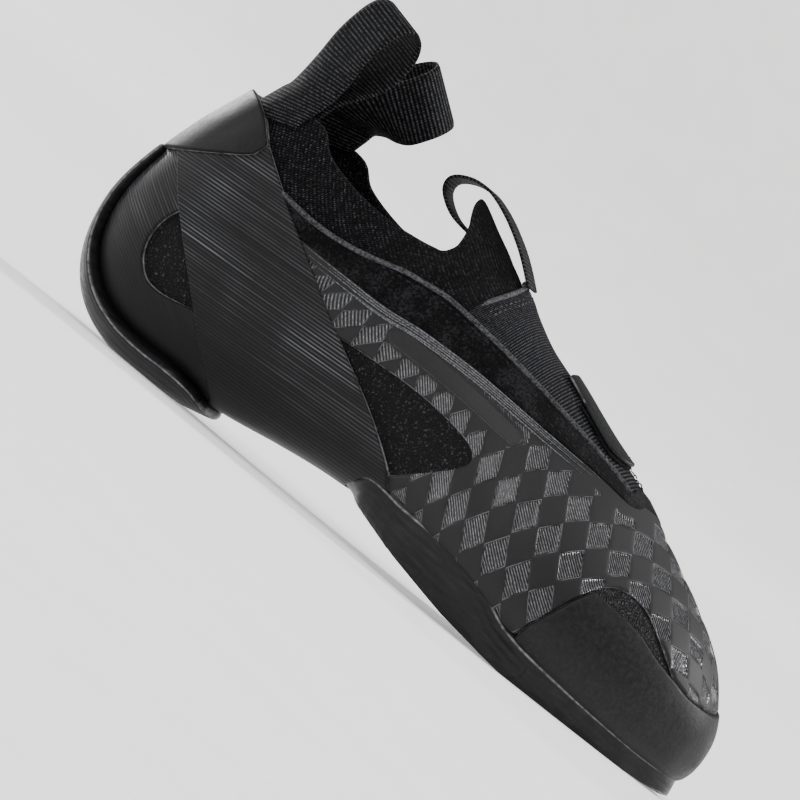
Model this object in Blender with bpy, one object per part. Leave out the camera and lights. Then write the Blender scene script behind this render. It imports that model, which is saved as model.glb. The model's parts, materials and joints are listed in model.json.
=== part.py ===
# A right climbing shoe of the slip-on kind, standing on its sole with the toe towards +X.
# One knitted upper is lasted over a foot form, rubber and synthetic panels are wrapped round it,
# and webbing loops pull it on. The lateral (outer) side of the foot faces -Y.

import math

import bmesh
import bpy
import numpy as np

for leftover in list(bpy.data.objects):
    bpy.data.objects.remove(leftover, do_unlink=True)

# Driving sizes of the foot form, in metres
LAST_LENGTH = 0.246
BALL_WIDTH = 0.088
HEEL_WIDTH = 0.058
HEEL_HEIGHT = 0.088
INSTEP_HEIGHT = 0.088

# Walls and layers, in metres
FIT_GAP = 0.0003
UPPER_WALL = 0.0020
INSOLE_THICKNESS = 0.0020
OVERLAY_THICKNESS = 0.0012
BINDING_THICKNESS = 0.0014
ELASTIC_THICKNESS = 0.0012
RAND_THICKNESS = 0.0016
BAND_THICKNESS = 0.0020
PATCH_THICKNESS = 0.0014
TAB_THICKNESS = 0.0016
SOLE_THICKNESS = 0.0049
SOLE_EDGE = 0.0021
HEEL_SOLE_THICKNESS = 0.0042
LASTING_MARGIN = 0.010
LASTING_RISE = 0.007
INSOLE_RISE = 0.013
TIP_HALF = 0.003
CUT_DEPTH = 0.020

# Webbing, in metres
LOOP_WIDTH = 0.020
LOOP_THICKNESS = 0.0012
LOOP_HEIGHT = 0.040
LOOP_DEPTH = 0.014
FRONT_LOOP_WIDTH = 0.012
FRONT_LOOP_THICKNESS = 0.0010
TAB_LENGTH = 0.031
TAB_WIDTH = 0.015

# How far the panel lines sweep forward for each metre of distance from the middle plane
SWEEP = 0.325

# Fineness of the form
STATIONS = 24
AROUND = 22
CURVE_STEPS = 2

# Sections of the foot form from the toe tip, along the foot and round the heel up to the collar.
# back_x, back_z is the sole or heel end of the section and front_x, front_z its instep end:
# x as a share of LAST_LENGTH from the heel, z as a share of HEEL_HEIGHT or INSTEP_HEIGHT
# above the sole. heel_mix chooses the width that half is a share of, from ball to heel.
# centre and lean are shares of BALL_WIDTH towards the inner side of the foot. widest is where
# along the section it is widest, and low_power and high_power square its two ends.
LAST_COLUMNS = ("back_x", "back_z", "front_x", "front_z", "heel_mix", "half",
                "centre", "lean", "widest", "low_power", "high_power")
LAST_ROWS = (
    (1.000, 0.108, 1.000, 0.122, 0.0, 0.012, 0.225, 0.00, 0.50, 2.2, 2.2),
    (0.994, 0.052, 0.995, 0.189, 0.0, 0.085, 0.222, 0.00, 0.46, 2.3, 2.2),
    (0.985, 0.028, 0.985, 0.257, 0.0, 0.160, 0.212, 0.01, 0.42, 2.4, 2.2),
    (0.965, 0.013, 0.963, 0.348, 0.0, 0.233, 0.190, 0.02, 0.38, 2.5, 2.1),
    (0.935, 0.004, 0.931, 0.442, 0.0, 0.307, 0.155, 0.03, 0.35, 2.7, 2.0),
    (0.890, 0.000, 0.878, 0.535, 0.0, 0.381, 0.108, 0.04, 0.32, 2.8, 1.9),
    (0.837, 0.000, 0.813, 0.628, 0.0, 0.443, 0.062, 0.05, 0.30, 2.9, 1.8),
    (0.772, 0.007, 0.744, 0.723, 0.0, 0.486, 0.020, 0.05, 0.28, 3.0, 1.7),
    (0.703, 0.026, 0.671, 0.791, 0.0, 0.497, -0.014, 0.05, 0.27, 3.0, 1.65),
    (0.634, 0.060, 0.602, 0.861, 0.2, 0.494, -0.028, 0.05, 0.27, 2.9, 1.65),
    (0.561, 0.106, 0.549, 0.908, 0.45, 0.480, -0.031, 0.04, 0.28, 2.8, 1.7),
    (0.492, 0.120, 0.508, 0.964, 0.7, 0.478, -0.028, 0.03, 0.30, 2.7, 1.75),
    (0.423, 0.110, 0.487, 1.000, 0.9, 0.492, -0.022, 0.02, 0.33, 2.6, 1.8),
    (0.350, 0.082, 0.470, 1.018, 1.0, 0.500, -0.017, 0.01, 0.36, 2.5, 1.85),
    (0.272, 0.044, 0.453, 1.042, 1.0, 0.500, -0.011, 0.01, 0.38, 2.4, 1.9),
    (0.187, 0.015, 0.439, 1.061, 1.0, 0.500, -0.006, 0.00, 0.40, 2.4, 2.0),
    (0.106, 0.022, 0.427, 1.078, 1.0, 0.500, 0.000, 0.00, 0.41, 2.3, 2.1),
    (0.048, 0.076, 0.415, 1.094, 1.0, 0.492, 0.000, 0.00, 0.42, 2.2, 2.2),
    (0.011, 0.193, 0.404, 1.108, 1.0, 0.487, 0.000, 0.00, 0.42, 2.2, 2.2),
    (-0.005, 0.365, 0.394, 1.121, 1.0, 0.483, 0.000, 0.00, 0.42, 2.2, 2.2),
    (0.000, 0.547, 0.384, 1.135, 1.0, 0.474, 0.000, 0.00, 0.42, 2.2, 2.2),
    (0.017, 0.723, 0.374, 1.149, 1.0, 0.465, 0.000, 0.00, 0.42, 2.2, 2.2),
    (0.038, 0.870, 0.364, 1.162, 1.0, 0.457, 0.000, 0.00, 0.42, 2.2, 2.2),
    (0.068, 1.069, 0.347, 1.184, 1.0, 0.448, 0.000, 0.00, 0.42, 2.2, 2.2),
)
LAST_TABLE = np.array(LAST_ROWS)
LAST_ROW = len(LAST_ROWS) - 1

# Panel edges as seen from the outer side: (x share of LAST_LENGTH, z share of the height there)
COLLAR_EDGE = ((0.020, 1.030), (0.085, 1.025), (0.135, 1.016), (0.165, 0.955), (0.219, 0.920),
               (0.271, 0.912), (0.323, 0.928), (0.356, 0.947))
TONGUE_EDGE = ((0.356, 0.947), (0.365, 0.985), (0.366, 1.015), (0.363, 1.072), (0.356, 1.118),
               (0.352, 1.158), (0.356, 1.188), (0.366, 1.212))
BAND_TOP = ((-0.080, 0.955), (0.042, 0.955), (0.096, 0.845))
BAND_FRONT = ((0.096, 0.845), (0.155, 0.741), (0.213, 0.650), (0.271, 0.560), (0.323, 0.483),
              (0.414, 0.357), (0.479, 0.246), (0.494, 0.205))
BAND_REAR = ((0.239, 0.055), (0.197, 0.145), (0.151, 0.248), (0.057, 0.476), (0.009, 0.624))
CUP_WINDOW = ((0.057, 0.476), (0.049, 0.417), (0.048, 0.345), (0.057, 0.276), (0.077, 0.225),
              (0.098, 0.214), (0.122, 0.222), (0.152, 0.243))
PATCH_EDGE = ((0.096, 0.845), (0.092, 0.805), (0.080, 0.765), (0.009, 0.627), (-0.060, 0.500))
BINDING_TOP = ((0.120, 0.760), (0.168, 0.743), (0.219, 0.738), (0.271, 0.755), (0.323, 0.790),
               (0.349, 0.807), (0.401, 0.821), (0.453, 0.812), (0.505, 0.797), (0.608, 0.757),
               (0.686, 0.721), (0.742, 0.688))
BINDING_INNER = ((0.742, 0.688), (0.744, 0.707), (0.737, 0.740), (0.715, 0.790), (0.690, 0.860),
                 (0.680, 0.980))
BINDING_OUTER = ((0.740, 1.010), (0.734, 0.850), (0.748, 0.780), (0.762, 0.740), (0.769, 0.694),
                 (0.764, 0.662), (0.748, 0.652))
BINDING_LOW = ((0.748, 0.652), (0.686, 0.666), (0.608, 0.673), (0.531, 0.683), (0.479, 0.687),
               (0.401, 0.680), (0.349, 0.663), (0.271, 0.659), (0.190, 0.659))
BINDING_MIDDLE = ((0.190, 0.700), (0.349, 0.735), (0.479, 0.750), (0.608, 0.715), (0.725, 0.672),
                  (0.757, 0.690), (0.748, 0.745), (0.725, 0.800), (0.712, 0.900), (0.708, 1.300))
ELASTIC_SEAM = ((0.429, 0.720), (0.440, 0.873), (0.459, 0.959), (0.479, 1.045), (0.500, 1.150))
SIDE_WINDOW = ((0.330, 0.487), (0.401, 0.504), (0.453, 0.509), (0.505, 0.500), (0.541, 0.480),
               (0.554, 0.445), (0.550, 0.411), (0.537, 0.366), (0.511, 0.297), (0.487, 0.235))
TOE_REAR = ((0.722, -0.200), (0.739, 0.107), (0.746, 0.169), (0.755, 0.225), (0.767, 0.297),
            (0.780, 0.359))
TOE_ARCH = ((0.780, 0.359), (0.788, 0.387), (0.801, 0.411), (0.822, 0.425), (0.839, 0.423),
            (0.859, 0.407), (0.894, 0.356), (0.933, 0.291))
TOE_FRONT = ((0.933, 0.291), (0.978, 0.266), (1.013, 0.278), (1.120, 0.300))
RAND_TOP = ((0.780, 0.359), (0.803, 0.357), (0.842, 0.350), (0.868, 0.337), (0.900, 0.310),
            (0.933, 0.291))
SOLE_TOP = ((0.440, -0.090), (0.438, 0.075), (0.443, 0.135), (0.459, 0.200), (0.479, 0.216),
            (0.511, 0.213), (0.544, 0.201), (0.608, 0.178), (0.660, 0.152), (0.712, 0.111),
            (0.738, 0.099), (0.816, 0.073), (0.894, 0.056), (0.997, 0.045), (1.060, 0.070))

# Underside of the outsole: x share of LAST_LENGTH, z share of SOLE_THICKNESS above the floor,
# and how far the lower corner stands in from the side wall as a share of BALL_WIDTH
TREAD_COLUMNS = ("x", "z", "undercut")
TREAD_ROWS = (
    (0.40, 2.95, 0.160), (0.48, 2.60, 0.130), (0.53, 2.10, 0.095), (0.60, 1.40, 0.060),
    (0.70, 0.58, 0.032), (0.80, -0.02, 0.018), (0.86, -0.10, 0.014), (0.94, -0.06, 0.012),
    (0.98, 0.08, 0.010), (1.00, 0.40, 0.006), (1.02, 1.10, 0.004),
)

# Heel sole: section number, thickness as a share of HEEL_SOLE_THICKNESS.
# HEEL_SOLE_CROWN is the power with which it thins towards its sides.
HEEL_SOLE_CROWN = 2.5
HEEL_SOLE_ROWS = ((13.0, 0.35), (14.0, 0.62), (15.0, 1.10), (16.0, 1.10), (17.0, 0.98),
                  (18.0, 0.86), (19.0, 0.76), (20.0, 0.56), (21.0, 0.38), (23.0, 0.30))
# Its outline from above: x share of LAST_LENGTH, half width as a share of HEEL_WIDTH
HEEL_SOLE_OUTLINE = ((0.252, 0.10), (0.247, 0.19), (0.235, 0.26), (0.205, 0.300), (0.160, 0.285),
                     (0.105, 0.255), (0.062, 0.230), (0.032, 0.212), (0.012, 0.190),
                     (-0.006, 0.175), (-0.060, 0.160))

# Path of the front loop, from the elastic over the tongue peak to its inner face
FRONT_LOOP = ((0.478, 1.034), (0.461, 1.072), (0.437, 1.119), (0.404, 1.169), (0.375, 1.200),
              (0.355, 1.210), (0.334, 1.203), (0.316, 1.179), (0.309, 1.151), (0.312, 1.116),
              (0.325, 1.085), (0.341, 1.063), (0.358, 1.053), (0.384, 1.047), (0.402, 1.047),
              (0.415, 1.031))

# Colours of the finishes
BLACKS = {
    "knit": ((0.012, 0.012, 0.013), 0.90),
    "rubber": ((0.016, 0.016, 0.017), 0.62),
    "synthetic": ((0.020, 0.020, 0.021), 0.45),
    "suede": ((0.010, 0.010, 0.010), 0.95),
    "webbing": ((0.018, 0.018, 0.019), 0.80),
    "board": ((0.030, 0.030, 0.030), 0.85),
}


def material(name):
    found = bpy.data.materials.get(name)
    if found:
        return found
    colour, roughness = BLACKS[name]
    made = bpy.data.materials.new(name)
    made.use_nodes = True
    shader = made.node_tree.nodes["Principled BSDF"]
    shader.inputs["Base Color"].default_value = (*colour, 1.0)
    shader.inputs["Roughness"].default_value = roughness
    shader.inputs["Metallic"].default_value = 0.0
    return made


def spline(rows, places):
    # Catmull-Rom values of the rows at fractional row numbers
    rows = np.asarray(rows, float)
    places = np.clip(np.asarray(places, float), 0, len(rows) - 1)
    low = np.minimum(places.astype(int), len(rows) - 2)
    part = (places - low)[..., None]
    before = rows[np.maximum(low - 1, 0)]
    start = rows[low]
    end = rows[low + 1]
    after = rows[np.minimum(low + 2, len(rows) - 1)]
    return 0.5 * (2 * start + (end - before) * part
                  + (2 * before - 5 * start + 4 * end - after) * part ** 2
                  + (3 * start - before - 3 * end + after) * part ** 3)


def side_view(x, z):
    # A point of the side view in metres, from its x and z shares
    mix = np.clip((x - 0.25) / 0.25, 0, 1)
    height = HEEL_HEIGHT + (INSTEP_HEIGHT - HEEL_HEIGHT) * mix
    return np.stack([x * LAST_LENGTH, SOLE_THICKNESS + z * height])


def last_point(row, turn):
    # Point of the foot form. turn runs from -90 degrees at the sole or heel, through 0 at the
    # inner side and 90 at the instep, to 180 at the outer side.
    values = spline(LAST_TABLE, row)
    column = {name: values[..., i] for i, name in enumerate(LAST_COLUMNS)}
    width = BALL_WIDTH + (HEEL_WIDTH - BALL_WIDTH) * np.clip(column["heel_mix"], 0, 1)
    up = np.sin(turn)
    aside = np.cos(turn)
    power = 2 / np.where(up >= 0, column["high_power"], column["low_power"])
    reach = np.where(up >= 0, 1 - column["widest"], column["widest"])
    along = column["widest"] + np.sign(up) * reach * np.abs(up) ** power
    y = (np.sign(aside) * np.abs(aside) ** power * column["half"] * width
         + (column["centre"] + column["lean"] * along) * BALL_WIDTH)
    back = side_view(column["back_x"], column["back_z"])
    front = side_view(column["front_x"], column["front_z"])
    x, z = back + (front - back) * along
    return np.stack([x, y, z], axis=-1)


def last_surface(row, turn, offset):
    # Point at a distance from the foot form, outwards where offset is positive
    row, turn = np.broadcast_arrays(np.asarray(row, float), np.asarray(turn, float))
    step_row, step_turn = 0.04, 0.03
    low = np.clip(row - step_row, 0, LAST_ROW)
    high = np.clip(row + step_row, 0, LAST_ROW)
    lengthways = last_point(high, turn) - last_point(low, turn)
    sideways = last_point(row, turn + step_turn) - last_point(row, turn - step_turn)
    normal = np.cross(lengthways, sideways)
    normal /= np.linalg.norm(normal, axis=-1, keepdims=True)
    return last_point(row, turn) + normal * np.asarray(offset, float)[..., None]


STATION_ROWS = np.linspace(0, LAST_ROW, STATIONS)
TURNS = -math.pi / 2 + 2 * math.pi * np.arange(AROUND) / AROUND


def new_object(name, vertices, faces, finish="rubber"):
    mesh = bpy.data.meshes.new(name)
    mesh.from_pydata([tuple(map(float, v)) for v in vertices], [], [tuple(f) for f in faces])
    shape = bmesh.new()
    shape.from_mesh(mesh)
    bmesh.ops.recalc_face_normals(shape, faces=shape.faces)
    shape.to_mesh(mesh)
    shape.free()
    made = bpy.data.objects.new(name, mesh)
    made.data.materials.append(material(finish))
    bpy.context.scene.collection.objects.link(made)
    return made


def tube_faces(rings, around, first):
    # Triangles between the rings of one tube, always split along the same diagonal
    faces = []
    for i in range(rings - 1):
        for j in range(around):
            a = first + i * around + j
            b = first + i * around + (j + 1) % around
            faces.append((a, b, b + around))
            faces.append((a, b + around, a + around))
    return faces


def form(name, offset):
    # The whole foot form grown by offset, closed at the toe and across the collar
    rows, turns = np.meshgrid(STATION_ROWS, TURNS, indexing="ij")
    points = last_surface(rows, turns, offset).reshape(-1, 3)
    tip = points[:AROUND].mean(axis=0)
    top = points[-AROUND:].mean(axis=0)
    vertices = np.vstack([points, tip, top])
    faces = tube_faces(STATIONS, AROUND, 0)
    for j in range(AROUND):
        after = (j + 1) % AROUND
        faces.append((len(points), after, j))
        faces.append((len(points) + 1, len(points) - AROUND + j, len(points) - AROUND + after))
    return new_object(name, vertices, faces)


def shell(name, inner, outer, finish, first=0, last=LAST_ROW, skip=1):
    # A wall on the foot form between two offsets, from one row of the table to another.
    # outer may be a function of the row and the turn. skip leaves turns out.
    chosen = STATION_ROWS[(STATION_ROWS >= first) & (STATION_ROWS <= last)]
    rows, turns = np.meshgrid(chosen, TURNS[::skip], indexing="ij")
    ring = rows.shape[1]
    thick = outer(rows, turns) if callable(outer) else outer
    outside = last_surface(rows, turns, thick).reshape(-1, 3)
    inside = last_surface(rows, turns, inner).reshape(-1, 3)
    count = len(outside)
    vertices = np.vstack([outside, inside, outside[:ring].mean(axis=0),
                          inside[:ring].mean(axis=0)])
    faces = tube_faces(len(chosen), ring, 0)
    faces += [f[::-1] for f in tube_faces(len(chosen), ring, count)]
    for j in range(ring):
        after = (j + 1) % ring
        if first == 0:
            faces.append((2 * count, after, j))
            faces.append((2 * count + 1, count + j, count + after))
        else:
            faces.append((j, count + after, after))
            faces.append((j, count + j, count + after))
        a = count - ring + j
        b = count - ring + after
        faces.append((a, b, count + b))
        faces.append((a, count + b, count + a))
    if first != 0:
        vertices = vertices[:-2]
    return new_object(name, vertices, faces, finish)


def straight(points):
    x, z = np.array(points, float).T
    return [tuple(point) for point in side_view(x, z).T]


def edge(points, steps=CURVE_STEPS):
    # A smooth line through side-view points, in metres
    places = np.linspace(0, len(points) - 1, (len(points) - 1) * steps + 1)
    return straight(spline(points, places))


def outline(*edges):
    # One closed loop from several edges that meet end to end
    loop = []
    for line in edges:
        for point in line:
            if not loop or math.dist(loop[-1], point) > 1e-5:
                loop.append(point)
    if math.dist(loop[0], loop[-1]) < 1e-5:
        loop.pop()
    return loop


def grown(loop, distance):
    # The loop moved outwards by a distance, corner by corner
    area = sum(a[0] * b[1] - b[0] * a[1] for a, b in zip(loop, loop[1:] + loop[:1]))
    side = 1 if area > 0 else -1
    moved = []
    for before, here, after in zip(loop[-1:] + loop[:-1], loop, loop[1:] + loop[:1]):
        first = np.subtract(here, before)
        second = np.subtract(after, here)
        first = np.array([first[1], -first[0]]) / np.linalg.norm(first)
        second = np.array([second[1], -second[0]]) / np.linalg.norm(second)
        mean = first + second
        mean /= max(np.linalg.norm(mean), 0.2)
        reach = distance / max(float(mean @ first), 0.5)
        moved.append((here[0] + side * mean[0] * reach, here[1] + side * mean[1] * reach))
    return moved


def side_cutter(loop, name="cutter"):
    # The side outline carried across the shoe, swept forward on both sides of the middle plane
    half = BALL_WIDTH
    vertices = []
    for y in (-half, 0.0, half):
        vertices += [(x + SWEEP * abs(y), y, z) for x, z in loop]
    count = len(loop)
    faces = [range(count), range(2 * count, 3 * count)]
    for layer in (0, count):
        for j in range(count):
            after = (j + 1) % count
            faces.append((layer + j, layer + after, layer + count + after, layer + count + j))
    return new_object(name, vertices, faces)


def plan_cutter(loop, low, high, name="cutter"):
    # A plan outline carried from one height to another
    count = len(loop)
    vertices = [(x, y, low) for x, y in loop] + [(x, y, high) for x, y in loop]
    faces = [range(count), range(count, 2 * count)]
    for j in range(count):
        after = (j + 1) % count
        faces.append((j, after, count + after, count + j))
    return new_object(name, vertices, faces)


def cut(target, cutter, operation):
    # Applies a Boolean and throws the cutter away
    modifier = target.modifiers.new(operation, "BOOLEAN")
    modifier.object = cutter
    modifier.operation = operation
    modifier.solver = "EXACT"
    bpy.context.view_layer.update()
    evaluated = target.evaluated_get(bpy.context.evaluated_depsgraph_get())
    mesh = bpy.data.meshes.new_from_object(evaluated)
    target.modifiers.clear()
    finishes = list(target.data.materials)
    target.data = mesh
    target.data.materials.clear()
    target.data.materials.append(finishes[0])
    bpy.data.objects.remove(cutter, do_unlink=True)


def keep(target, loop):
    cut(target, side_cutter(loop), "INTERSECT")


def clear(target, loop, distance=FIT_GAP):
    cut(target, side_cutter(grown(loop, distance)), "DIFFERENCE")


# Regions of the side view
BELOW = -0.40
ABOVE = 1.60
FRONT = 1.35
REAR = -0.25

BAND = outline(edge(BAND_TOP), edge(BAND_FRONT),
               straight([(0.56, 0.10), (0.56, BELOW), (0.25, BELOW)]), edge(BAND_REAR),
               straight([(-0.080, 0.640)]))
BINDING = outline(edge(BINDING_TOP), edge(BINDING_INNER), edge(BINDING_OUTER),
                  edge(BINDING_LOW))
TOE = outline(edge(TOE_REAR), edge(TOE_ARCH), edge(TOE_FRONT),
              straight([(FRONT, 0.30), (FRONT, BELOW), (0.722, BELOW)]))
RAND = outline(edge(TOE_REAR), edge(RAND_TOP), edge(TOE_FRONT),
               straight([(FRONT, 0.30), (FRONT, BELOW), (0.722, BELOW)]))
SOLE_SIDE = outline(edge(SOLE_TOP), straight([(FRONT, 0.07), (FRONT, BELOW), (0.44, BELOW)]))


def build_upper():
    upper = shell("upper", -UPPER_WALL, 0.0, "knit")
    collar = outline(edge(COLLAR_EDGE), edge(TONGUE_EDGE),
                     straight([(0.40, 1.35), (0.40, ABOVE), (REAR, ABOVE), (REAR, 1.03)]))
    cut(upper, side_cutter(collar), "DIFFERENCE")
    cut(upper, bottom_block(LASTING_MARGIN, -CUT_DEPTH, LASTING_RISE), "DIFFERENCE")
    return upper


def bottom_block(margin, low, high):
    # A block along the sole, its edge a margin inside the form's plan outline, from a height
    # below the form's own underside to one above it
    rows = np.linspace(1.6, 16.4, 30)
    inner = last_point(rows, 0.0)
    outer = last_point(rows, math.pi)
    under = last_point(rows, -math.pi / 2)
    vertices, faces = [], []
    for lateral, medial, bottom in zip(outer, inner, under):
        half = max((medial[1] - lateral[1]) / 2 - margin, TIP_HALF)
        centre = (medial[1] + lateral[1]) / 2
        for y, z in ((-half, low), (half, low), (half, high), (-half, high)):
            vertices.append((bottom[0], centre + y, bottom[2] + z))
    count = len(rows)
    for i in range(count - 1):
        for j in range(4):
            a = 4 * i + j
            b = 4 * i + (j + 1) % 4
            faces.append((a, b, b + 4, a + 4))
    faces += [(0, 1, 2, 3), tuple(range(4 * count - 4, 4 * count))]
    return new_object("cutter", vertices, faces)


def build_insole():
    top = -UPPER_WALL - FIT_GAP
    insole = shell("insole", top - INSOLE_THICKNESS, top, "board", 1.7, 17.5, 2)
    cut(insole, bottom_block(LASTING_MARGIN * 0.55, -CUT_DEPTH, INSOLE_RISE), "INTERSECT")
    return insole


def build_overlays():
    binding = shell("throat_binding", FIT_GAP, FIT_GAP + BINDING_THICKNESS, "suede", 3)
    keep(binding, BINDING)
    clear(binding, BAND)

    elastic = shell("instep_elastic", FIT_GAP, FIT_GAP + ELASTIC_THICKNESS, "webbing", 5, 17)
    keep(elastic, outline(edge(ELASTIC_SEAM), straight([(0.50, ABOVE), (0.708, ABOVE)]),
                          edge(BINDING_MIDDLE[::-1])[:-4 * CURVE_STEPS],
                          straight([(0.429, 0.720)])))
    clear(elastic, BINDING)

    overlay = shell("side_overlay", FIT_GAP, FIT_GAP + OVERLAY_THICKNESS, "synthetic", 1.5)
    keep(overlay, outline(edge(BINDING_MIDDLE), straight([(0.708, ABOVE), (FRONT, ABOVE),
                                                          (FRONT, BELOW), (0.44, BELOW),
                                                          (0.38, 0.25), (0.19, 0.55)])))
    clear(overlay, BINDING)
    clear(overlay, BAND)
    clear(overlay, TOE)
    clear(overlay, SOLE_SIDE)
    window = outline(edge(SIDE_WINDOW), straight([(0.45, 0.20), (0.30, 0.46)]))
    cut(overlay, side_cutter(window), "DIFFERENCE")

    toe = shell("toe_rand", FIT_GAP, FIT_GAP + RAND_THICKNESS, "rubber", 0, 8.5)
    keep(toe, RAND)
    clear(toe, SOLE_SIDE)


def build_heel():
    band = shell("tension_band", FIT_GAP, FIT_GAP + BAND_THICKNESS, "rubber", 9)
    keep(band, BAND)
    clear(band, SOLE_SIDE)

    cup = shell("heel_cup", FIT_GAP, FIT_GAP + BAND_THICKNESS, "rubber", 13)
    keep(cup, outline(edge(BAND_REAR), straight([(-0.02, 0.75), (REAR, 0.75), (REAR, BELOW),
                                                 (0.25, BELOW)])))
    clear(cup, BAND)
    window = outline(edge(CUP_WINDOW), straight([(0.20, 0.25), (0.10, 0.50)]))
    cut(cup, side_cutter(window), "DIFFERENCE")

    seat = 2 * FIT_GAP + BAND_THICKNESS
    patch_loop = outline(edge(BAND_TOP), edge(PATCH_EDGE), straight([(-0.08, 0.50)]))
    patch = shell("heel_patch", seat, seat + PATCH_THICKNESS, "rubber", 18)
    keep(patch, patch_loop)

    numbers, shares = np.array(HEEL_SOLE_ROWS).T

    def tread(rows, turns):
        # Thickest under the middle of the heel and thinner up its sides
        aside = np.abs(np.cos(turns)) ** HEEL_SOLE_CROWN
        return seat + HEEL_SOLE_THICKNESS * np.interp(rows, numbers, shares) * (1 - 0.55 * aside)

    sole = shell("heel_sole", seat, tread, "rubber", 13)
    places = np.linspace(0, len(HEEL_SOLE_OUTLINE) - 1,
                         (len(HEEL_SOLE_OUTLINE) - 1) * CURVE_STEPS + 1)
    half = [(x * LAST_LENGTH, w * HEEL_WIDTH) for x, w in spline(HEEL_SOLE_OUTLINE, places)]
    loop = half + [(x, -y) for x, y in reversed(half)]
    cut(sole, plan_cutter(loop, -CUT_DEPTH, SOLE_THICKNESS + 0.62 * HEEL_HEIGHT), "INTERSECT")
    clear(sole, patch_loop)
    cut(sole, floor_block(), "DIFFERENCE")


def floor_block():
    # Everything below the floor
    rear, front = -BALL_WIDTH, LAST_LENGTH + BALL_WIDTH
    loop = [(rear, -BALL_WIDTH), (front, -BALL_WIDTH), (front, BALL_WIDTH), (rear, BALL_WIDTH)]
    return plan_cutter(loop, -2 * CUT_DEPTH, 0.0)


def build_outsole():
    rows = np.concatenate([[0.0, 0.35, 0.7], np.arange(1.0, 12.6, 0.5)])
    tread = {name: [row[i] for row in TREAD_ROWS] for i, name in enumerate(TREAD_COLUMNS)}
    across = np.linspace(-1, 1, 5)
    vertices = []
    for row in rows:
        walls = [last_surface(row, turn, SOLE_EDGE) for turn in (math.pi, 0.0)]
        tops = [last_surface(row, turn, SOLE_EDGE) for turn in (math.pi * 0.86, math.pi * 0.14)]
        share = walls[0][0] / LAST_LENGTH
        bottom = SOLE_THICKNESS * np.interp(share, tread["x"], tread["z"])
        inset = BALL_WIDTH * np.interp(share, tread["x"], tread["undercut"])
        half = max((walls[1][1] - walls[0][1]) / 2 - inset, TIP_HALF / 6)
        centre = (walls[1][1] + walls[0][1]) / 2
        for step in across:
            vertices.append((walls[0][0], centre + half * step, bottom))
        vertices += [walls[1], tops[1], tops[0], walls[0]]
    ring = len(across) + 4
    faces = tube_faces(len(rows), ring, 0)
    faces += [tuple(range(ring)), tuple(range(ring * len(rows) - ring, ring * len(rows)))]
    outsole = new_object("outsole", vertices, faces)
    keep(outsole, SOLE_SIDE)
    cut(outsole, form("cutter", FIT_GAP), "DIFFERENCE")
    cut(outsole, floor_block(), "DIFFERENCE")


def build_tab():
    seat = 2 * FIT_GAP + ELASTIC_THICKNESS
    tab = shell("instep_tab", seat, seat + TAB_THICKNESS, "rubber", 5, 11)
    front = 0.715 * LAST_LENGTH
    middle = 0.035 * BALL_WIDTH
    half = TAB_WIDTH / 2
    loop = [(front - TAB_LENGTH, middle - half * 0.8), (front - TAB_LENGTH, middle + half * 0.8)]
    for step in range(9):
        angle = math.pi / 2 - math.pi * step / 8
        loop.append((front - half + half * math.cos(angle), middle + half * math.sin(angle)))
    low = SOLE_THICKNESS + 0.5 * INSTEP_HEIGHT
    cut(tab, plan_cutter(loop, low, low + INSTEP_HEIGHT), "INTERSECT")


def strap(name, lines, thickness, finish="webbing"):
    # Webbing from a grid of points: one line of points across it for each step along it
    grid = np.asarray(lines)
    along = np.gradient(grid, axis=0)
    across = np.gradient(grid, axis=1)
    normal = np.cross(along, across)
    normal /= np.linalg.norm(normal, axis=-1, keepdims=True)
    steps, width = grid.shape[:2]
    top = grid + normal * thickness / 2
    under = grid - normal * thickness / 2
    rings = np.concatenate([top, under[:, ::-1]], axis=1).reshape(-1, 3)
    ring = 2 * width
    faces = tube_faces(steps, ring, 0)
    faces += [tuple(range(ring)), tuple(range(ring * steps - ring, ring * steps))]
    return new_object(name, rings, faces, finish)


def heel_loop(name, turn, depth, lean, droop):
    # A strap from outside the collar, over and down inside it. lean is where its top stands
    # from its foot, and droop how its width lies there: both as shares of LOOP_HEIGHT.
    speed = np.linalg.norm(last_point(LAST_ROW, turn + 0.05) - last_point(LAST_ROW, turn - 0.05))
    half_turn = LOOP_WIDTH / 2 / (speed / 0.1)
    places = np.linspace(-1, 1, 5)
    turns = turn + half_turn * places
    outside = FIT_GAP + LOOP_THICKNESS / 2
    inside = -UPPER_WALL - outside
    lines = [last_surface(row, turns, outside) for row in (21.9, 22.3, 22.7, 23.0)]
    end = [last_surface(row, turns, inside) for row in (23.0, 22.7, 22.3)]
    foot = lines[-1].mean(axis=0)
    inner_foot = end[0].mean(axis=0)
    up = np.array(lean) * LOOP_HEIGHT
    flat = np.array(droop)
    flat = flat / np.linalg.norm(flat) * LOOP_WIDTH / 2 * places[:, None]
    inward = inner_foot - foot
    inward /= np.linalg.norm(inward)
    path = ((0.25, 0.00), (0.50, -0.05), (0.75, 0.00), (0.90, 0.12), (0.98, 0.32), (1.00, 0.52),
            (0.97, 0.74), (0.88, 0.92), (0.74, 1.00), (0.55, 0.96), (0.36, 0.78), (0.16, 0.50))
    for rise, share in path:
        outer_side = share < 0.5 and rise < 0.99
        shape = (lines[3] - foot) if outer_side else (end[0] - inner_foot)
        ease = min(rise / 0.6, 1.0)
        ease = ease * ease * (3 - 2 * ease)
        lines.append(foot + up * rise + inward * share * depth
                     + shape * (1 - ease) + flat * ease)
    made = strap(name, lines + end, LOOP_THICKNESS)
    return made


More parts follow.
